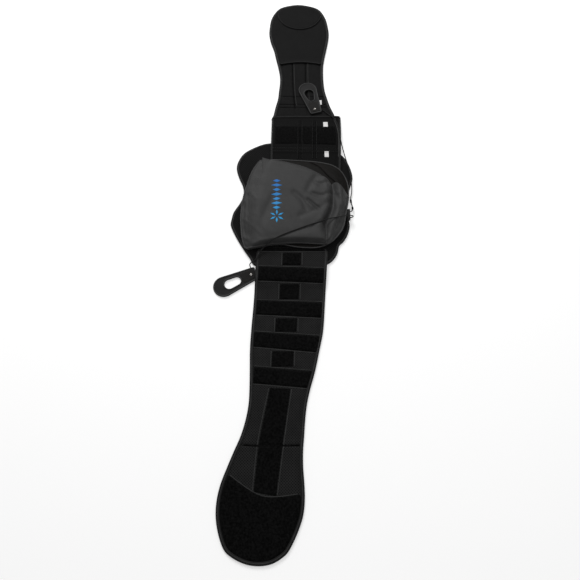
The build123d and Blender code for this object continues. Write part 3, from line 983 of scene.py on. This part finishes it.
def make_wing_mesh():
    ring = smooth(WING_EDGE)
    lines = [pair for a, b, c, d in STRIPS for pair in ([a, b], [d, c])]
    for left, right, top_y, bottom_y in SQUARES:
        lines += [[(left - 2, top_y), (left - 3, bottom_y)], [(right + 2, top_y), (right + 1, bottom_y)]]

    def top(p, _):
        edge = distance(p, ring, True)
        z = wing_surface(p) + 0.3 * waves(p[:, 0], p[:, 1], 41, 75) + seams(p, lines, 1.8, 0.9)
        return z - 0.9 * ridge(edge - 10, 2.2) - 2.0 * rounded(edge, 6)

    def bottom(p, _):
        return long_rise(p) + SOLE_Z + 1.6 * rounded(distance(p, ring, True), 5)

    def make_half(name, path, place, *nodes):
        slab("wing_mesh_" + name, close_line(path), top, bottom, MESH, place, "spacer_mesh", *nodes,
             cell=FINE_CELL, under=LINING, fill=0.4)

    def bind(name, part, place, *nodes):
        part = part[part[:, 1] < ROOT_SEAM_Y]
        binding("wing_binding_" + name, part, inward, long_rise, place, *nodes)

    inward = np.sign(signed_area(ring))
    upper = ring_side(ring, WING_SPLIT_Y, True)
    make_half("upper", upper, ROOT_PLACE, "wing_root", "long_wing")
    bind("uppera", upper[upper[:, 0] < 0], ROOT_PLACE, "wing_root_binding")
    bind("upperb", upper[upper[:, 0] > 0], ROOT_PLACE, "wing_root_binding")
    lower = ring_side(ring, WING_SPLIT_Y, False)
    make_half("lower", lower, END_PLACE, "wing_end")
    bind("lower", lower, END_PLACE, "wing_end_binding", "long_wing_binding")
    return ring


def loop_piece(name, corners, place, seed, *nodes):
    """Piece of loop fabric sewn on the wing."""

    def top(p, edge):
        return wing_surface(p) + SKIN_T + 0.2 * waves(p[:, 0], p[:, 1], seed, 12) - 1.0 * rounded(edge, 2.6)

    slab(name, polygon(corners), top, lambda p, edge: wing_surface(p) - 2.0, LOOP, place, "loop_fabric",
         *nodes)


def wing_seam(name, points, place, rounding=True):
    """Raised row of thread beside a piece of loop fabric."""
    line_on(name, points, raised(wing_surface, 0.05), 1.5, THREAD, place, height=1.1, rounding=rounding)


def make_loops(ring):
    """Loop fabric on the wing, with the seams beside it."""
    strip_nodes = {0: ["wing_root_loops"], 1: ["cross_loops"]}
    square_nodes = {2: ["centre_loop"]}
    off = np.array([0, SEAM_OFF])
    for index, corners in enumerate(STRIPS):
        body = "long_root" if index == 0 else "wing"
        loop_piece(f"cross_loop_{index}", corners, body, 50 + index, *strip_nodes.get(index, []))
        a, b, c, d = (np.array(corner, float) for corner in corners)
        wing_seam(f"cross_seam_top_{index}", [a + off, (a + b) / 2 + off, b + off], body)
        wing_seam(f"cross_seam_bottom_{index}", [d - off, (c + d) / 2 - off, c - off], body)
    for index, (left, right, top_y, bottom_y) in enumerate(SQUARES):
        corners = [(left, top_y), (right, top_y), (right - 1.5, bottom_y), (left - 1.5, bottom_y)]
        place = ("long_root", ROOT_PLACE, "wing", "wing")[index]
        loop_piece(f"centre_loop_{index}", corners, place, 60 + index, *square_nodes.get(index, []))
        for side, x in (("left", left - SEAM_OFF), ("right", right + SEAM_OFF)):
            wing_seam(f"centre_seam_{side}_{index}", [(x, top_y), (x - 0.7, bottom_y)], place)
    loop_piece("centre_loop_long", LONG_STRIP, END_PLACE, 70, "end_centre_loop")
    for name, (points, place) in LONG_SEAMS.items():
        wing_seam(name, points, place)
    loop_piece("root_top_strip", ROOT_STRIP, "long_root", 81)
    # Near-black line along the fold: painted shade in the crease.
    crease = [(x * 0.88 - 3, y) for x, y in CREASE]
    line_on("end_crease_shade", crease, raised(wing_surface, 0.75), 3.6, LOOP, END_PLACE)
    make_end_loops(ring)


def make_end_loops(ring):
    """Field of loop fabric over the wing's end, below a curved seam."""
    line = smooth(PATCH_LINE, 2.8, closed=False)
    inner = inset_ring(ring, BINDING_W - 1)
    below = stretch(inner, inner[:, 1] < np.interp(inner[:, 0], line[:, 0], line[:, 1]) - 1.5)
    line = line[inside(line, inset_ring(ring, BINDING_W + 0.5))]
    if np.linalg.norm(below[-1] - line[0]) > np.linalg.norm(below[-1] - line[-1]):
        line = line[::-1]
    loop_piece("end_loop_field", np.vstack([below, line]), "end", 80, "end_loop_patch")
    wing_seam("end_patch_seam", line[1:-1] + [0, 1.6], "end", rounding=False)


# Pull tabs

TAB_T = 4.0
# Place, height and turn in degrees of each tab's cord end
TAB_PLACES = {
    "short": (80.0, 324.4, WING_T + 0.3, 105.7),
    "long": (-66.8, -135.1, 0.0, 206.0),
}
# Circles as (x along the tab, radius): the tab's own two ends, and those of each finger hole
TAB_NEAR, TAB_FAR = (0.0, 16.0), (82.0, 25.0)
HOLES = {
    "short": ((50.0, 7.5), (69.0, 12.0)),
    "long": ((50.5, 9.8), (68.5, 11.5)),
}
HOLE_CENTRE = (61.0, 0.0)
RIM_W = 4.4
EDGE_W = 4.6
GRIP_DEPTH = 0.22
GRIP_PITCH = 3.2
EYELET_X = 14.5
KNIT_EDGE = [(5, -9), (5, 9), (8, 12), (34, 12.5), (38.5, 8), (39.5, 0), (38.5, -8), (34, -12.5), (8, -12)]


def touch_angle(near, far):
    """Angle at which the straight sides touch two circles, given as (x, radius)."""
    (x0, r0), (x1, r1) = near, far
    return math.pi / 2 + math.asin((r1 - r0) / (x1 - x0))


def two_circles(near, far):
    """Outline round two circles on the tab's middle line."""
    limit = touch_angle(near, far)
    return np.vstack([arc_line((far[0], 0), far[1], -limit, limit, 60),
                      arc_line((near[0], 0), near[1], limit, 2 * math.pi - limit, 60)])


def tab_outline():
    """Square neck with small corners, widening to the round finger end."""
    limit = touch_angle(TAB_NEAR, TAB_FAR)
    end = arc_line((TAB_FAR[0], 0), TAB_FAR[1], -limit, limit, 60)
    corner = arc_line((TAB_NEAR[0] + 4, TAB_NEAR[1] - 4), 4, math.pi / 2, math.pi, 8)
    return resample(np.vstack([end, corner, corner[::-1] * [1, -1]]), 1.0, True)


def ray_ring(ring, centre, turns):
    """Points of a ring seen from a centre in given directions."""
    seen = []
    for t in turns:
        d = np.array([math.cos(t), math.sin(t)])
        best = 0.0
        for a, b in zip(ring, np.roll(ring, -1, axis=0)):
            e, r = b - a, a - centre
            det = d[1] * e[0] - d[0] * e[1]
            if abs(det) > 1e-12:
                s = (r[1] * e[0] - r[0] * e[1]) / det
                u = (d[0] * r[1] - d[1] * r[0]) / det
                if s > 0 and -1e-6 <= u <= 1 + 1e-6:
                    best = max(best, s)
        seen.append(centre + d * best)
    return np.array(seen)


def tab_rows():
    """Rows of the tab's upper side from the hole outwards: how far along, and the height there."""
    rows = []
    for inward in (0.0, 0.4, 1.0, 1.8, 2.6, 3.6, RIM_W):
        rise = 1.7 * math.sin(math.pi / 2 * min(inward, 1)) - 0.7 * max(0.0, min(inward - 2.6, 1.0))
        rows.append(("near", inward, TAB_T - 1.0 + rise))
    for share in (0.2, 0.3, 0.4, 0.5, 0.6, 0.7, 0.8):
        rows.append(("middle", share, TAB_T - 0.15))
    for outward in (EDGE_W, 3.8, 3.0, 2.2, 1.4, 0.7, 0.25, 0.0):
        fall = 1.6 * (1 - math.sqrt(1 - (1 - min(outward / 1.6, 1)) ** 2))
        rows.append(("far", outward, TAB_T - fall + 0.55 * ridge(outward - 2.6, 1.0)))
    return rows


def make_tab_plate(name, hole, to_world):
    """Moulded plate with a raised rim round its finger hole and fine grip lines on its end."""
    centre = np.array(HOLE_CENTRE)
    turns = np.linspace(0, 2 * math.pi, 150, endpoint=False)
    outer = ray_ring(tab_outline(), centre, turns)
    inner = ray_ring(hole, centre, turns)
    gap = np.linalg.norm(outer - inner, axis=1)
    near_share = np.minimum(RIM_W / gap, 0.45)
    far_share = np.minimum(EDGE_W / gap, 0.45)
    upper, lower = [], []
    for kind, value, z in tab_rows():
        low = 0.0 if kind == "middle" else 1.2 * rounded(value, 1.4)
        share = {
            "near": near_share * value / RIM_W,
            "middle": near_share + (1 - far_share - near_share) * value,
            "far": 1 - far_share * value / EDGE_W,
        }[kind]
        plan = inner + (outer - inner) * share[:, None]
        on_end = ramp(plan[:, 0], 84, 90) if kind == "middle" else 0
        wave = np.sin(np.linalg.norm(plan - [TAB_FAR[0], 0], axis=1) * 2 * math.pi / GRIP_PITCH)
        upper.append(lift(plan, z + GRIP_DEPTH * wave * on_end))
        lower.append(lift(plan, SOLE_Z + low))
    rows = upper + lower[::-1]
    n = len(turns)
    faces = []
    for r in range(len(rows)):
        faces += band(r * n, (r + 1) % len(rows) * n, n)
    tab = make_object(name, to_world(np.vstack(rows)), faces, TAB)
    outward_normals(tab)
    return tab


def make_tab(prefix):
    x, y, z, angle = TAB_PLACES[prefix]
    body, cad = prefix + "_pull", prefix + "_tab"
    cos, sin = math.cos(math.radians(angle)), math.sin(math.radians(angle))

    def to_world(points):
        plan = points[:, :2] @ np.array([[cos, sin], [-sin, cos]]) + [x, y]
        return lift(plan, points[:, 2] + z)

    def at_height(ring, height):
        return to_world(lift(ring, height))

    hole = resample(two_circles(*HOLES[prefix]), 1.0, True)
    register(make_tab_plate(prefix + "_pull_tab", hole, to_world), body, "tab_plastic", cad)
    patch = at_height(smooth(KNIT_EDGE, 1.5), 0)[:, :2]
    slab(prefix + "_knit_patch", patch, lambda p, edge: z + TAB_T + 0.55 - 0.5 * rounded(edge, 1),
         lambda p, edge: z + TAB_T - 0.6, KNIT, body, "tab_knit", cad + "_patch", cell=1.6)
    slab(prefix + "_hook_patch", patch, lambda p, edge: z + 0.8,
         lambda p, edge: z + 0.02 + 0.3 * rounded(edge, 1), HOOK, body, "hook_tape", cad + "_hook", cell=1.6)
    eyelet = at_height(np.array(oval(3.8, 3.8, 28)) + [EYELET_X, 0], TAB_T + 0.6)
    sweep(prefix + "_eyelet", eyelet, oval(2.0, 1.3, 10), METAL, body, "eyelet_metal", cad + "_eyelet",
          closed=True)
    # Thin tubes of the light rim plastic along the outer edge and round the finger hole: painted highlight on
    # the rims.
    for name, rim, height in (("_outer_rim_highlight", inset_ring(tab_outline(), 1.8), TAB_T + 0.45),
                              ("_hole_rim_highlight", inset_ring(hole, -1.6), TAB_T + 0.9)):
        sweep(prefix + name, at_height(rim, height), oval(1.5, 1.1, 8), TAB_RIM_HIGHLIGHT, body, "tab_plastic",
              closed=True)


# Cords

CORD_D = 2.4
CORD_STEP = 1.2
SIDE_CORD = [(150, 20, 12), (157.5, 20, 12), (162, 29, 8.5), (162, 41, 4.4), (159.3, 53, 3.0),
             (159, 65, 3.2), (162.6, 80, 6.0), (162.4, 98, 10.2), (161.5, 118, 10.6), (159.2, 136, 10.4),
             (154.2, 162, 10.2), (148.4, 187, 11.0), (142.6, 211, 15.6), (138.8, 240, 15.9),
             (136, 265, 14.2)]
CORNER_CORD = [(136, 265, 14.2), (134.2, 281.07, 13.107), (129, 300, 10.2), (121, 313, 9.0),
               (112, 321.5, 7.4)]
TAIL_CORD = [(112, 321.5, 7.4), (106.6, 326.6, 6.44), (100.4, 333.6, 6.8), (95.3, 337.0, 6.8),
             (86.6, 334.55, 6.8)]
LONG_CORD = [(150, 4, 12), (157.5, 4, 12), (162, 4.6, 17.5), (157.6, 4, 23), (144.5, 1, 28),
             (125, -5, 31.4), (103, -10.5, 33.8), (77, -20.5, 34.5), (49, -30, 34.4), (22, -41.5, 34.5),
             (-4, -52, 34.4), (-28, -64.5, 33.4), (-43, -74.5, 27), (-53.5, -83, 20.5),
             (-60.5, -91.5, 16.6), (-64.5, -100.5, 15.4), (-69.5, -108.5, 15.2), (-77, -113.2, 12.8),
             (-83.2, -115.6, 7.4), (-83.2, -119.74, 2.0), (-77.94, -130.52, 2.0)]

# Each cord's route, the bodies and points that it runs between, and its CAD node
CORDS = {
    "side_pull_cord": (SIDE_CORD, ("back_pad", "short_side", (0.15, 0.03, 0), (0.15, 0.2, 0)), "side_cord"),
    "corner_pull_cord": (CORNER_CORD, fold_place("short_side", "front", FRONT_FOLD_Y, 4, 7), "corner_cord"),
    "tail_pull_cord": (TAIL_CORD, ("front", "short_pull", (0.112, 0.3215, 0.007), (0.093, 0.3365, 0.007)),
                       "tail_cord"),
    "long_pull_cord": (LONG_CORD, ("back_pad", "long_pull", (-0.03, -0.065, 0.033), (-0.0825, -0.122, 0.003)),
                       "long_cord"),
}


def spline_points(route):
    """Even points along the smooth NURBS line of a cord's route, in metres."""
    data = bpy.data.curves.new("route", "CURVE")
    data.dimensions = "3D"
    data.resolution_u = 16
    line = data.splines.new("NURBS")
    line.points.add(len(route) - 1)
    for point, place in zip(line.points, route):
        point.co = (*(c * MM for c in place), 1)
    line.order_u = 3
    line.use_endpoint_u = True
    holder = add_object("route", data)
    mesh = bpy.data.meshes.new_from_object(holder)
    points = np.array([v.co for v in mesh.vertices])
    bpy.data.objects.remove(holder)
    bpy.data.meshes.remove(mesh)
    return points


def make_cords():
    for name, (route, place, node) in CORDS.items():
        points = spline_points(route)
        path = resample(points / MM, CORD_STEP, False)
        tube = sweep(name, path, oval(CORD_D, CORD_D, 10), CORD, place, "cord_black", node, free=True)


def make_cord_knots():
    """Knots where the side cord leaves the pad."""
    route, place, _ = CORDS["side_pull_cord"]
    path = resample(spline_points(route) / MM, CORD_STEP, False)
    for name, y in (("side_cord_knot_upper", 56), ("side_cord_knot_lower", 34)):
        middle = int(np.argmin(np.abs(path[:, 1] - y)))
        sweep(name, path[middle - 3:middle + 4], oval(4.8, 4.4), CORD, place, "cord_black", free=True)


# Pouch

# Hem of the front sheet, from the top left corner down the left side, along the bottom and up the right side
FRONT_HEM = [(-62, 166), (-72, 151), (-81, 132), (-90, 105), (-97, 78), (-103.5, 45), (-105.5, 10),
             (-104.5, -25), (-101, -52), (-97, -70), (-92.5, -78.5), (-83, -79.5), (-57, -73.5),
             (-33, -68), (-5, -65.5), (41, -65), (88, -67), (106, -59), (123, -42), (135, -22), (142.5, 6),
             (147, 38), (151, 58)]
FREE_EDGE = [(151, 58), (138, 77), (121, 94), (110, 91.5), (103, 98), (90, 108), (70, 122), (42, 136.5),
             (8, 147), (-16, 152), (-38, 157), (-62, 166)]
BACK_EDGE = [(-61, 169.5), (-38, 169), (8, 167.5), (68, 163), (100, 157), (118, 150.5), (134, 138),
             (146, 120), (152, 100), (153.5, 76), (151, 50), (146, 30), (141.5, 4), (133.5, -24),
             (121, -45), (108, -61), (96, -69.5), (84, -74.5), (67, -78), (34, -77), (8, -72.5), (-5, -70),
             (-33, -71), (-57, -76), (-84, -80), (-93, -77), (-98, -66), (-103, -25), (-104, 10),
             (-102, 45), (-95, 78), (-88, 105), (-79, 132), (-70, 151)]
POCKET_LINE = [(62, 161), (83, 147), (103, 121), (120, 103), (138, 85), (150, 61)]
VALLEY = [(-66, 92), (-43, 91), (-20, 91.5), (-8, 96), (9, 104), (26, 110), (46, 112.5), (73, 113),
          (95, 111)]
SHEET_TOP = 33.2
SHEET_T = 0.6
LEFT_HEM_Z = 14.5
LOWER_HEM_Z = 20.5
# Paths of the wrinkles, with the width and depth of each
WRINKLES = [
    ([(104, 62), (84, 54), (62, 60)], 5, 1.5), ([(100, 36), (74, 18), (34, 0)], 7, 1.2),
    ([(86, 118), (66, 98), (52, 68)], 8, 1.3), ([(100, 94), (84, 86), (66, 92)], 5, 1.2),
    ([(52, 43), (66, 30), (78, 19)], 3.6, 2.0), ([(20, 62), (38, 44), (48, 20)], 7, 1.3),
    ([(-88, 60), (-88, 0), (-86, -50)], 5, 1.0), ([(-98, 40), (-98, -20), (-90, -66)], 3, 0.9),
    ([(-30, 50), (-58, -20), (-66, -62)], 10, 1.1), ([(60, -30), (0, -48), (-50, -60)], 9, 0.7),
    ([(124, 58), (130, 14), (118, -30)], 5, 1.2), ([(140, 24), (128, -10), (106, -46)], 6, 1.2),
]


def soft_min(a, b, reach):
    """Smaller of two heights, rounded where they meet."""
    t = np.clip(0.5 + 0.5 * (b - a) / reach, 0, 1)
    return b + (a - b) * t - reach * t * (1 - t)


def front_sheet_height(p):
    """The front sheet as it stands over the cold pack, with the deep fold beside it."""
    x, y = p[:, 0], p[:, 1]
    hem = np.array(FRONT_HEM, float)
    left, bottom, right = hem[:11], hem[10:17], hem[16:]
    from_left = x - np.interp(y, left[::-1, 1], left[::-1, 0])
    from_bottom = y - np.interp(x, bottom[:, 0], bottom[:, 1])
    z = soft_min(LEFT_HEM_Z + (SHEET_TOP - LEFT_HEM_Z) * ramp(from_left, -6, 46) ** 0.8,
                 LOWER_HEM_Z + (SHEET_TOP - LOWER_HEM_Z) * ramp(from_bottom, -1, 8.5), 1.5)
    valley_y, valley_x = zip(*VALLEY)
    valley = np.interp(y, valley_y, valley_x)
    off = x - valley
    edge = np.interp(y, right[:, 1], right[:, 0])
    share = np.clip(off / np.maximum(edge - valley, 4), 0, 1)
    beyond = 18.5 * (1 - share) + 17.5 * share + 11 * np.sin(math.pi * share) ** 1.5
    depth = 3.0 + 9.5 * ramp(y, -62, -14)
    z = z - depth * ridge(np.minimum(off, 0), 7.0) + 1.2 * ridge(off + 15, 8) * ramp(y, -50, -10)
    z = np.where(off > 0, soft_min(beyond, LOWER_HEM_Z + 12 * ramp(from_bottom, -1, 14), 1.5), z)
    droop = 3.0 * np.exp(-distance(p, smooth(FREE_EDGE, 6, closed=False)) / 7) * ramp(x, -30, 30)
    for path, width, depth in WRINKLES:
        z = z - 2.0 * depth * ridge(distance(p, smooth(path, 5, closed=False)), width)
    return z - droop * (off < 0) + 0.5 * waves(0.8 * x + 0.5 * y, 0.6 * y - 0.3 * x, 91, 55)


def back_sheet_height(p, edge):
    """The back sheet over the pad, the panel, the wing and the pulley plates."""
    over_panel = ramp(p[:, 1], 95, 150) * ramp(p[:, 0], -60, -30) * (1 - ramp(p[:, 0], 138, 150))
    over_wing = (1 - ramp(p[:, 1], -66, -50)) * ramp(p[:, 0], -92, -72) * (1 - ramp(p[:, 0], 100, 118))
    rim = 12.2 + 4.2 * over_panel + 3.5 * over_wing
    return rim + (19.5 - rim) * ramp(edge, 2, 24)


DRAPE_FRAMES = 24
DRAPE_CAP = 3.0
RELAX_ROUNDS = 6
PACK_TOP = 30.8
CORD_GAP = 1.5


def draped(plan, faces, start, pinned):
    """Cloth simulation of the front sheet over its own form, with the result as points."""
    sheet = make_object("drape_sheet", lift(plan, start), faces, NYLON)
    form = make_object("drape_form", lift(plan, start - 1.0), faces, NYLON)
    group = sheet.vertex_groups.new(name="pinned")
    group.add(pinned, 1.0, "REPLACE")
    form.modifiers.new("collision", "COLLISION")
    form.collision.thickness_outer = 0.0006
    cloth = sheet.modifiers.new("cloth", "CLOTH")
    cloth.settings.quality = 6
    cloth.settings.mass = 0.12
    cloth.settings.bending_stiffness = 0.15
    cloth.settings.shrink_min = -0.03
    cloth.settings.vertex_group_mass = "pinned"
    cloth.collision_settings.distance_min = 0.0006
    cloth.collision_settings.use_self_collision = False
    cloth.point_cache.frame_end = DRAPE_FRAMES
    for number in range(1, DRAPE_FRAMES + 1):
        bpy.context.scene.frame_set(number)
    view = bpy.context.evaluated_depsgraph_get()
    result = bpy.data.meshes.new_from_object(sheet.evaluated_get(view))
    points = np.array([v.co for v in result.vertices]) / MM
    bpy.context.scene.frame_set(1)
    for obj in (sheet, form):
        bpy.data.objects.remove(obj)
    return points


def relaxed(values, faces):
    """Values at a mesh's points, each averaged several times with its neighbours."""
    corners = np.array(faces)
    pairs = np.vstack([corners[:, [0, 1]], corners[:, [1, 2]], corners[:, [2, 0]]])
    pairs = np.vstack([pairs, pairs[:, ::-1]])
    count = np.bincount(pairs[:, 0], minlength=len(values))[:, None]
    for _ in range(RELAX_ROUNDS):
        total = np.zeros_like(values)
        np.add.at(total, pairs[:, 0], values[pairs[:, 1]])
        values = 0.5 * values + 0.5 * total / count
    return values


def front_sheet_points(plan, faces, pinned):
    """Points of the front sheet, clear of the cold pack below and of the long cord above."""
    start = front_sheet_height(plan)
    points = lift(plan, start)
    moved = relaxed(draped(plan, faces, start, pinned) - points, faces)
    length = np.maximum(np.linalg.norm(moved, axis=1), 1e-9)
    points += moved * np.minimum(1, DRAPE_CAP / length)[:, None]
    pack_low, pack_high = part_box("cold_pack")
    x, y = points[:, 0], points[:, 1]
    (x0, y0, _), (x1, _, _) = np.array([pack_low, pack_high]) / MM
    over_pack = ramp(x, x0 - 5.5, x0 - 1.5) * (1 - ramp(x, x1 - 1, x1 + 3)) * ramp(y, y0 - 3, y0 + 1)
    points[:, 2] = np.maximum(points[:, 2], PACK_TOP * over_pack)
    cord = spline_points(LONG_CORD) / MM
    for x, y, z in resample(cord, 2.0, False):
        off = np.maximum(0, np.hypot(points[:, 0] - x, points[:, 1] - y) - CORD_GAP)
        limit = z - CORD_D / 2 - SHEET_T / 2 + 0.8 * off
        points[:, 2] = np.where(off < 5, np.minimum(points[:, 2], limit), points[:, 2])
    return points


def make_front_sheet():
    free = smooth(FREE_EDGE, 3, closed=False)
    hem = smooth(FRONT_HEM, 3, closed=False)
    ring = np.vstack([free[:-1], hem[:-1]])
    plan, faces = plan_grid(ring, 2.8)
    hem_points = [*range(len(free) - 1, len(ring)), 0]
    points = front_sheet_points(plan, faces, hem_points)
    solid = closed_faces(faces, len(plan), len(ring), True)
    sheet = make_object("pouch_front_sheet", np.vstack([points, points - [0, 0, SHEET_T]]), solid, NYLON)
    register(sheet, "back_pad", "pouch_nylon", "pouch_cover")
    for name, path, profile in (("pouch_front_hem", points[hem_points], oval(3.6, 2.8)),
                                ("pouch_mouth_edge", points[:len(free)], oval(1.6, 1.2))):
        sweep(name, path - [0, 0, 0.3], profile, HEM, "back_pad", "pouch_nylon")
    a, b, c = points[np.array(faces)[:, :3]].transpose(1, 0, 2)
    return BVHTree.FromPolygons([tuple(p) for p in points], faces)


def make_back_sheet():
    ring = smooth(BACK_EDGE, 3)
    groove = smooth(POCKET_LINE, 4, closed=False)

    def top(p, edge):
        z = back_sheet_height(p, edge) + 0.25 * waves(p[:, 0], p[:, 1], 77, 60) * (edge < 20)
        return z - 0.7 * ridge(distance(p, groove), 3)

    # The back sheet's dark nylon carries painted shade.
    sheet = slab("pouch_back_sheet", ring, top, lambda p, edge: top(p, edge) - SHEET_T, NYLON_BACK_SHADED,
                 "back_pad", "pouch_nylon", "pocket_liner", cell=3.6)
    rim = lift(ring, back_sheet_height(ring, np.zeros(len(ring))) - 0.2)
    sweep("pouch_edge_piping", rim, oval(3.0, 2.2), HEM, "back_pad", "pouch_nylon", "pouch_piping",
          closed=True)
    line = smooth(POCKET_LINE, 3, closed=False)
    line = lift(line, back_sheet_height(line, distance(line, ring, True)) + 0.7)
    sweep("pocket_elastic_edge", line, oval(2.4, 1.6), NYLON_BACK_SHADED, "back_pad", "pouch_nylon")


def lozenge(centre, along, across, angle):
    """Four-sided figure with its long way at an angle."""
    cos, sin = math.cos(angle), math.sin(angle)
    corners = [(along, 0), (0, across), (-along, 0), (0, -across)]
    return polygon([(centre[0] + a * cos - b * sin, centre[1] + a * sin + b * cos) for a, b in corners], 1.6)


def make_print(surface):
    """Frost motif printed on the front sheet: a six-pointed flake and a row of lozenges."""
    figures = []
    for k in range(6):
        angle = math.radians(30 + 60 * k)
        figures.append(lozenge((-21 + 10.5 * math.cos(angle), -4 + 10.5 * math.sin(angle)), 7.5, 2.6, angle))
    for k in range(7):
        figures.append(lozenge((-22, 19 + 12.5 * k), 13.5 if k % 2 else 9.5, 4.6, 0))
    verts, faces = [], []
    for ring in figures:
        plan, upper = plan_grid(ring, 1.6)
        heights = np.array([surface.ray_cast(Vector((x, y, 80)), Vector((0, 0, -1)))[0].z for x, y in plan])
        start = len(verts)
        verts += [(x, y, z + 0.16) for (x, y), z in zip(plan, heights)]
        verts += [(x, y, z - 0.2) for (x, y), z in zip(plan, heights)]
        figure = closed_faces(upper, len(plan), len(ring), signed_area(ring) > 0)
        faces += [tuple(start + i for i in face) for face in figure]
    motif = make_object("pouch_print", verts, faces, PRINT)
    register(motif, "back_pad", "pouch_nylon")


def make_pouch():
    surface = make_front_sheet()
    make_back_sheet()
    make_print(surface)


# Stage, light and camera

FLOOR_HALF = 6.0
FLOOR_DROP = 0.0002
FLOOR_WHITE = 0.93
FLOOR_GLOW = 0.42
WORLD_LIGHT = 0.27
# Each light's place, size and power
LIGHTS = {
    "key": ((-0.7, 1.9, 1.9), 1.2, 38),
    "fill": ((0.9, 0.2, 2.2), 1.6, 8),
}
CAMERA_PLACE = (0.010, -0.611, 1.055)
CAMERA_TILT = 22.3
LENS = 31.03


def make_stage():
    mesh = bpy.data.meshes.new("floor")
    corners = [(-1, -1), (1, -1), (1, 1), (-1, 1)]
    mesh.from_pydata([(x * FLOOR_HALF, y * FLOOR_HALF, 0) for x, y in corners], [], [(0, 1, 2, 3)])
    floor = add_object("floor", mesh)
    floor.location.z = -FLOOR_DROP
    paint = bpy.data.materials.new("floor_white")
    paint.use_nodes = True
    inputs = paint.node_tree.nodes["Principled BSDF"].inputs
    inputs["Base Color"].default_value = (*grey(FLOOR_WHITE), 1)
    inputs["Roughness"].default_value = 0.7
    inputs["Emission Color"].default_value = (1, 1, 1, 1)
    inputs["Emission Strength"].default_value = FLOOR_GLOW
    mesh.materials.append(paint)


def make_lights():
    world = bpy.data.worlds.new("studio")
    world.use_nodes = True
    inputs = world.node_tree.nodes["Background"].inputs
    inputs["Color"].default_value = (1, 1, 1, 1)
    inputs["Strength"].default_value = WORLD_LIGHT
    bpy.context.scene.world = world
    for name, (place, size, power) in LIGHTS.items():
        data = bpy.data.lights.new(name, "AREA")
        data.size = size
        data.energy = power
        light = add_object(name, data)
        light.location = place
        light.rotation_euler = (-Vector(place)).to_track_quat("-Z", "Y").to_euler()


def make_camera():
    data = bpy.data.cameras.new("camera")
    data.lens = LENS
    data.sensor_width = 36
    camera = add_object("camera", data)
    camera.location = CAMERA_PLACE
    camera.rotation_euler = (math.radians(CAMERA_TILT), 0, 0)
    bpy.context.scene.camera = camera
    bpy.context.scene.view_settings.view_transform = "Standard"


def finish_cad_nodes():
    """Materials for the CAD pieces that show, or that the pouch and the fabrics hold inside."""
    groups = {
        MECHANISM: ("back_plate", "cord_guide", "short_pulley_plate", "long_pulley_plate", "side_panel_stays",
                    "front_stays"),
        TAB: ("short_wheel_left", "short_wheel_right", "long_wheel_left", "long_wheel_right"),
        METAL: ("short_axle_pins", "long_axle_pins"),
        GEL: ("cold_pack",),
    }
    for material, nodes in groups.items():
        for node in nodes:
            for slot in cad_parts[node].material_slots:
                slot.material = material


def main():
    make_stage()
    make_lights()
    make_camera()
    make_cords()
    make_cord_knots()
    make_pad()
    make_side_panel()
    make_front_piece()
    make_tags()
    make_loops(make_wing_mesh())
    make_tab("short")
    make_tab("long")
    make_pouch()
    finish_cad_nodes()


main()
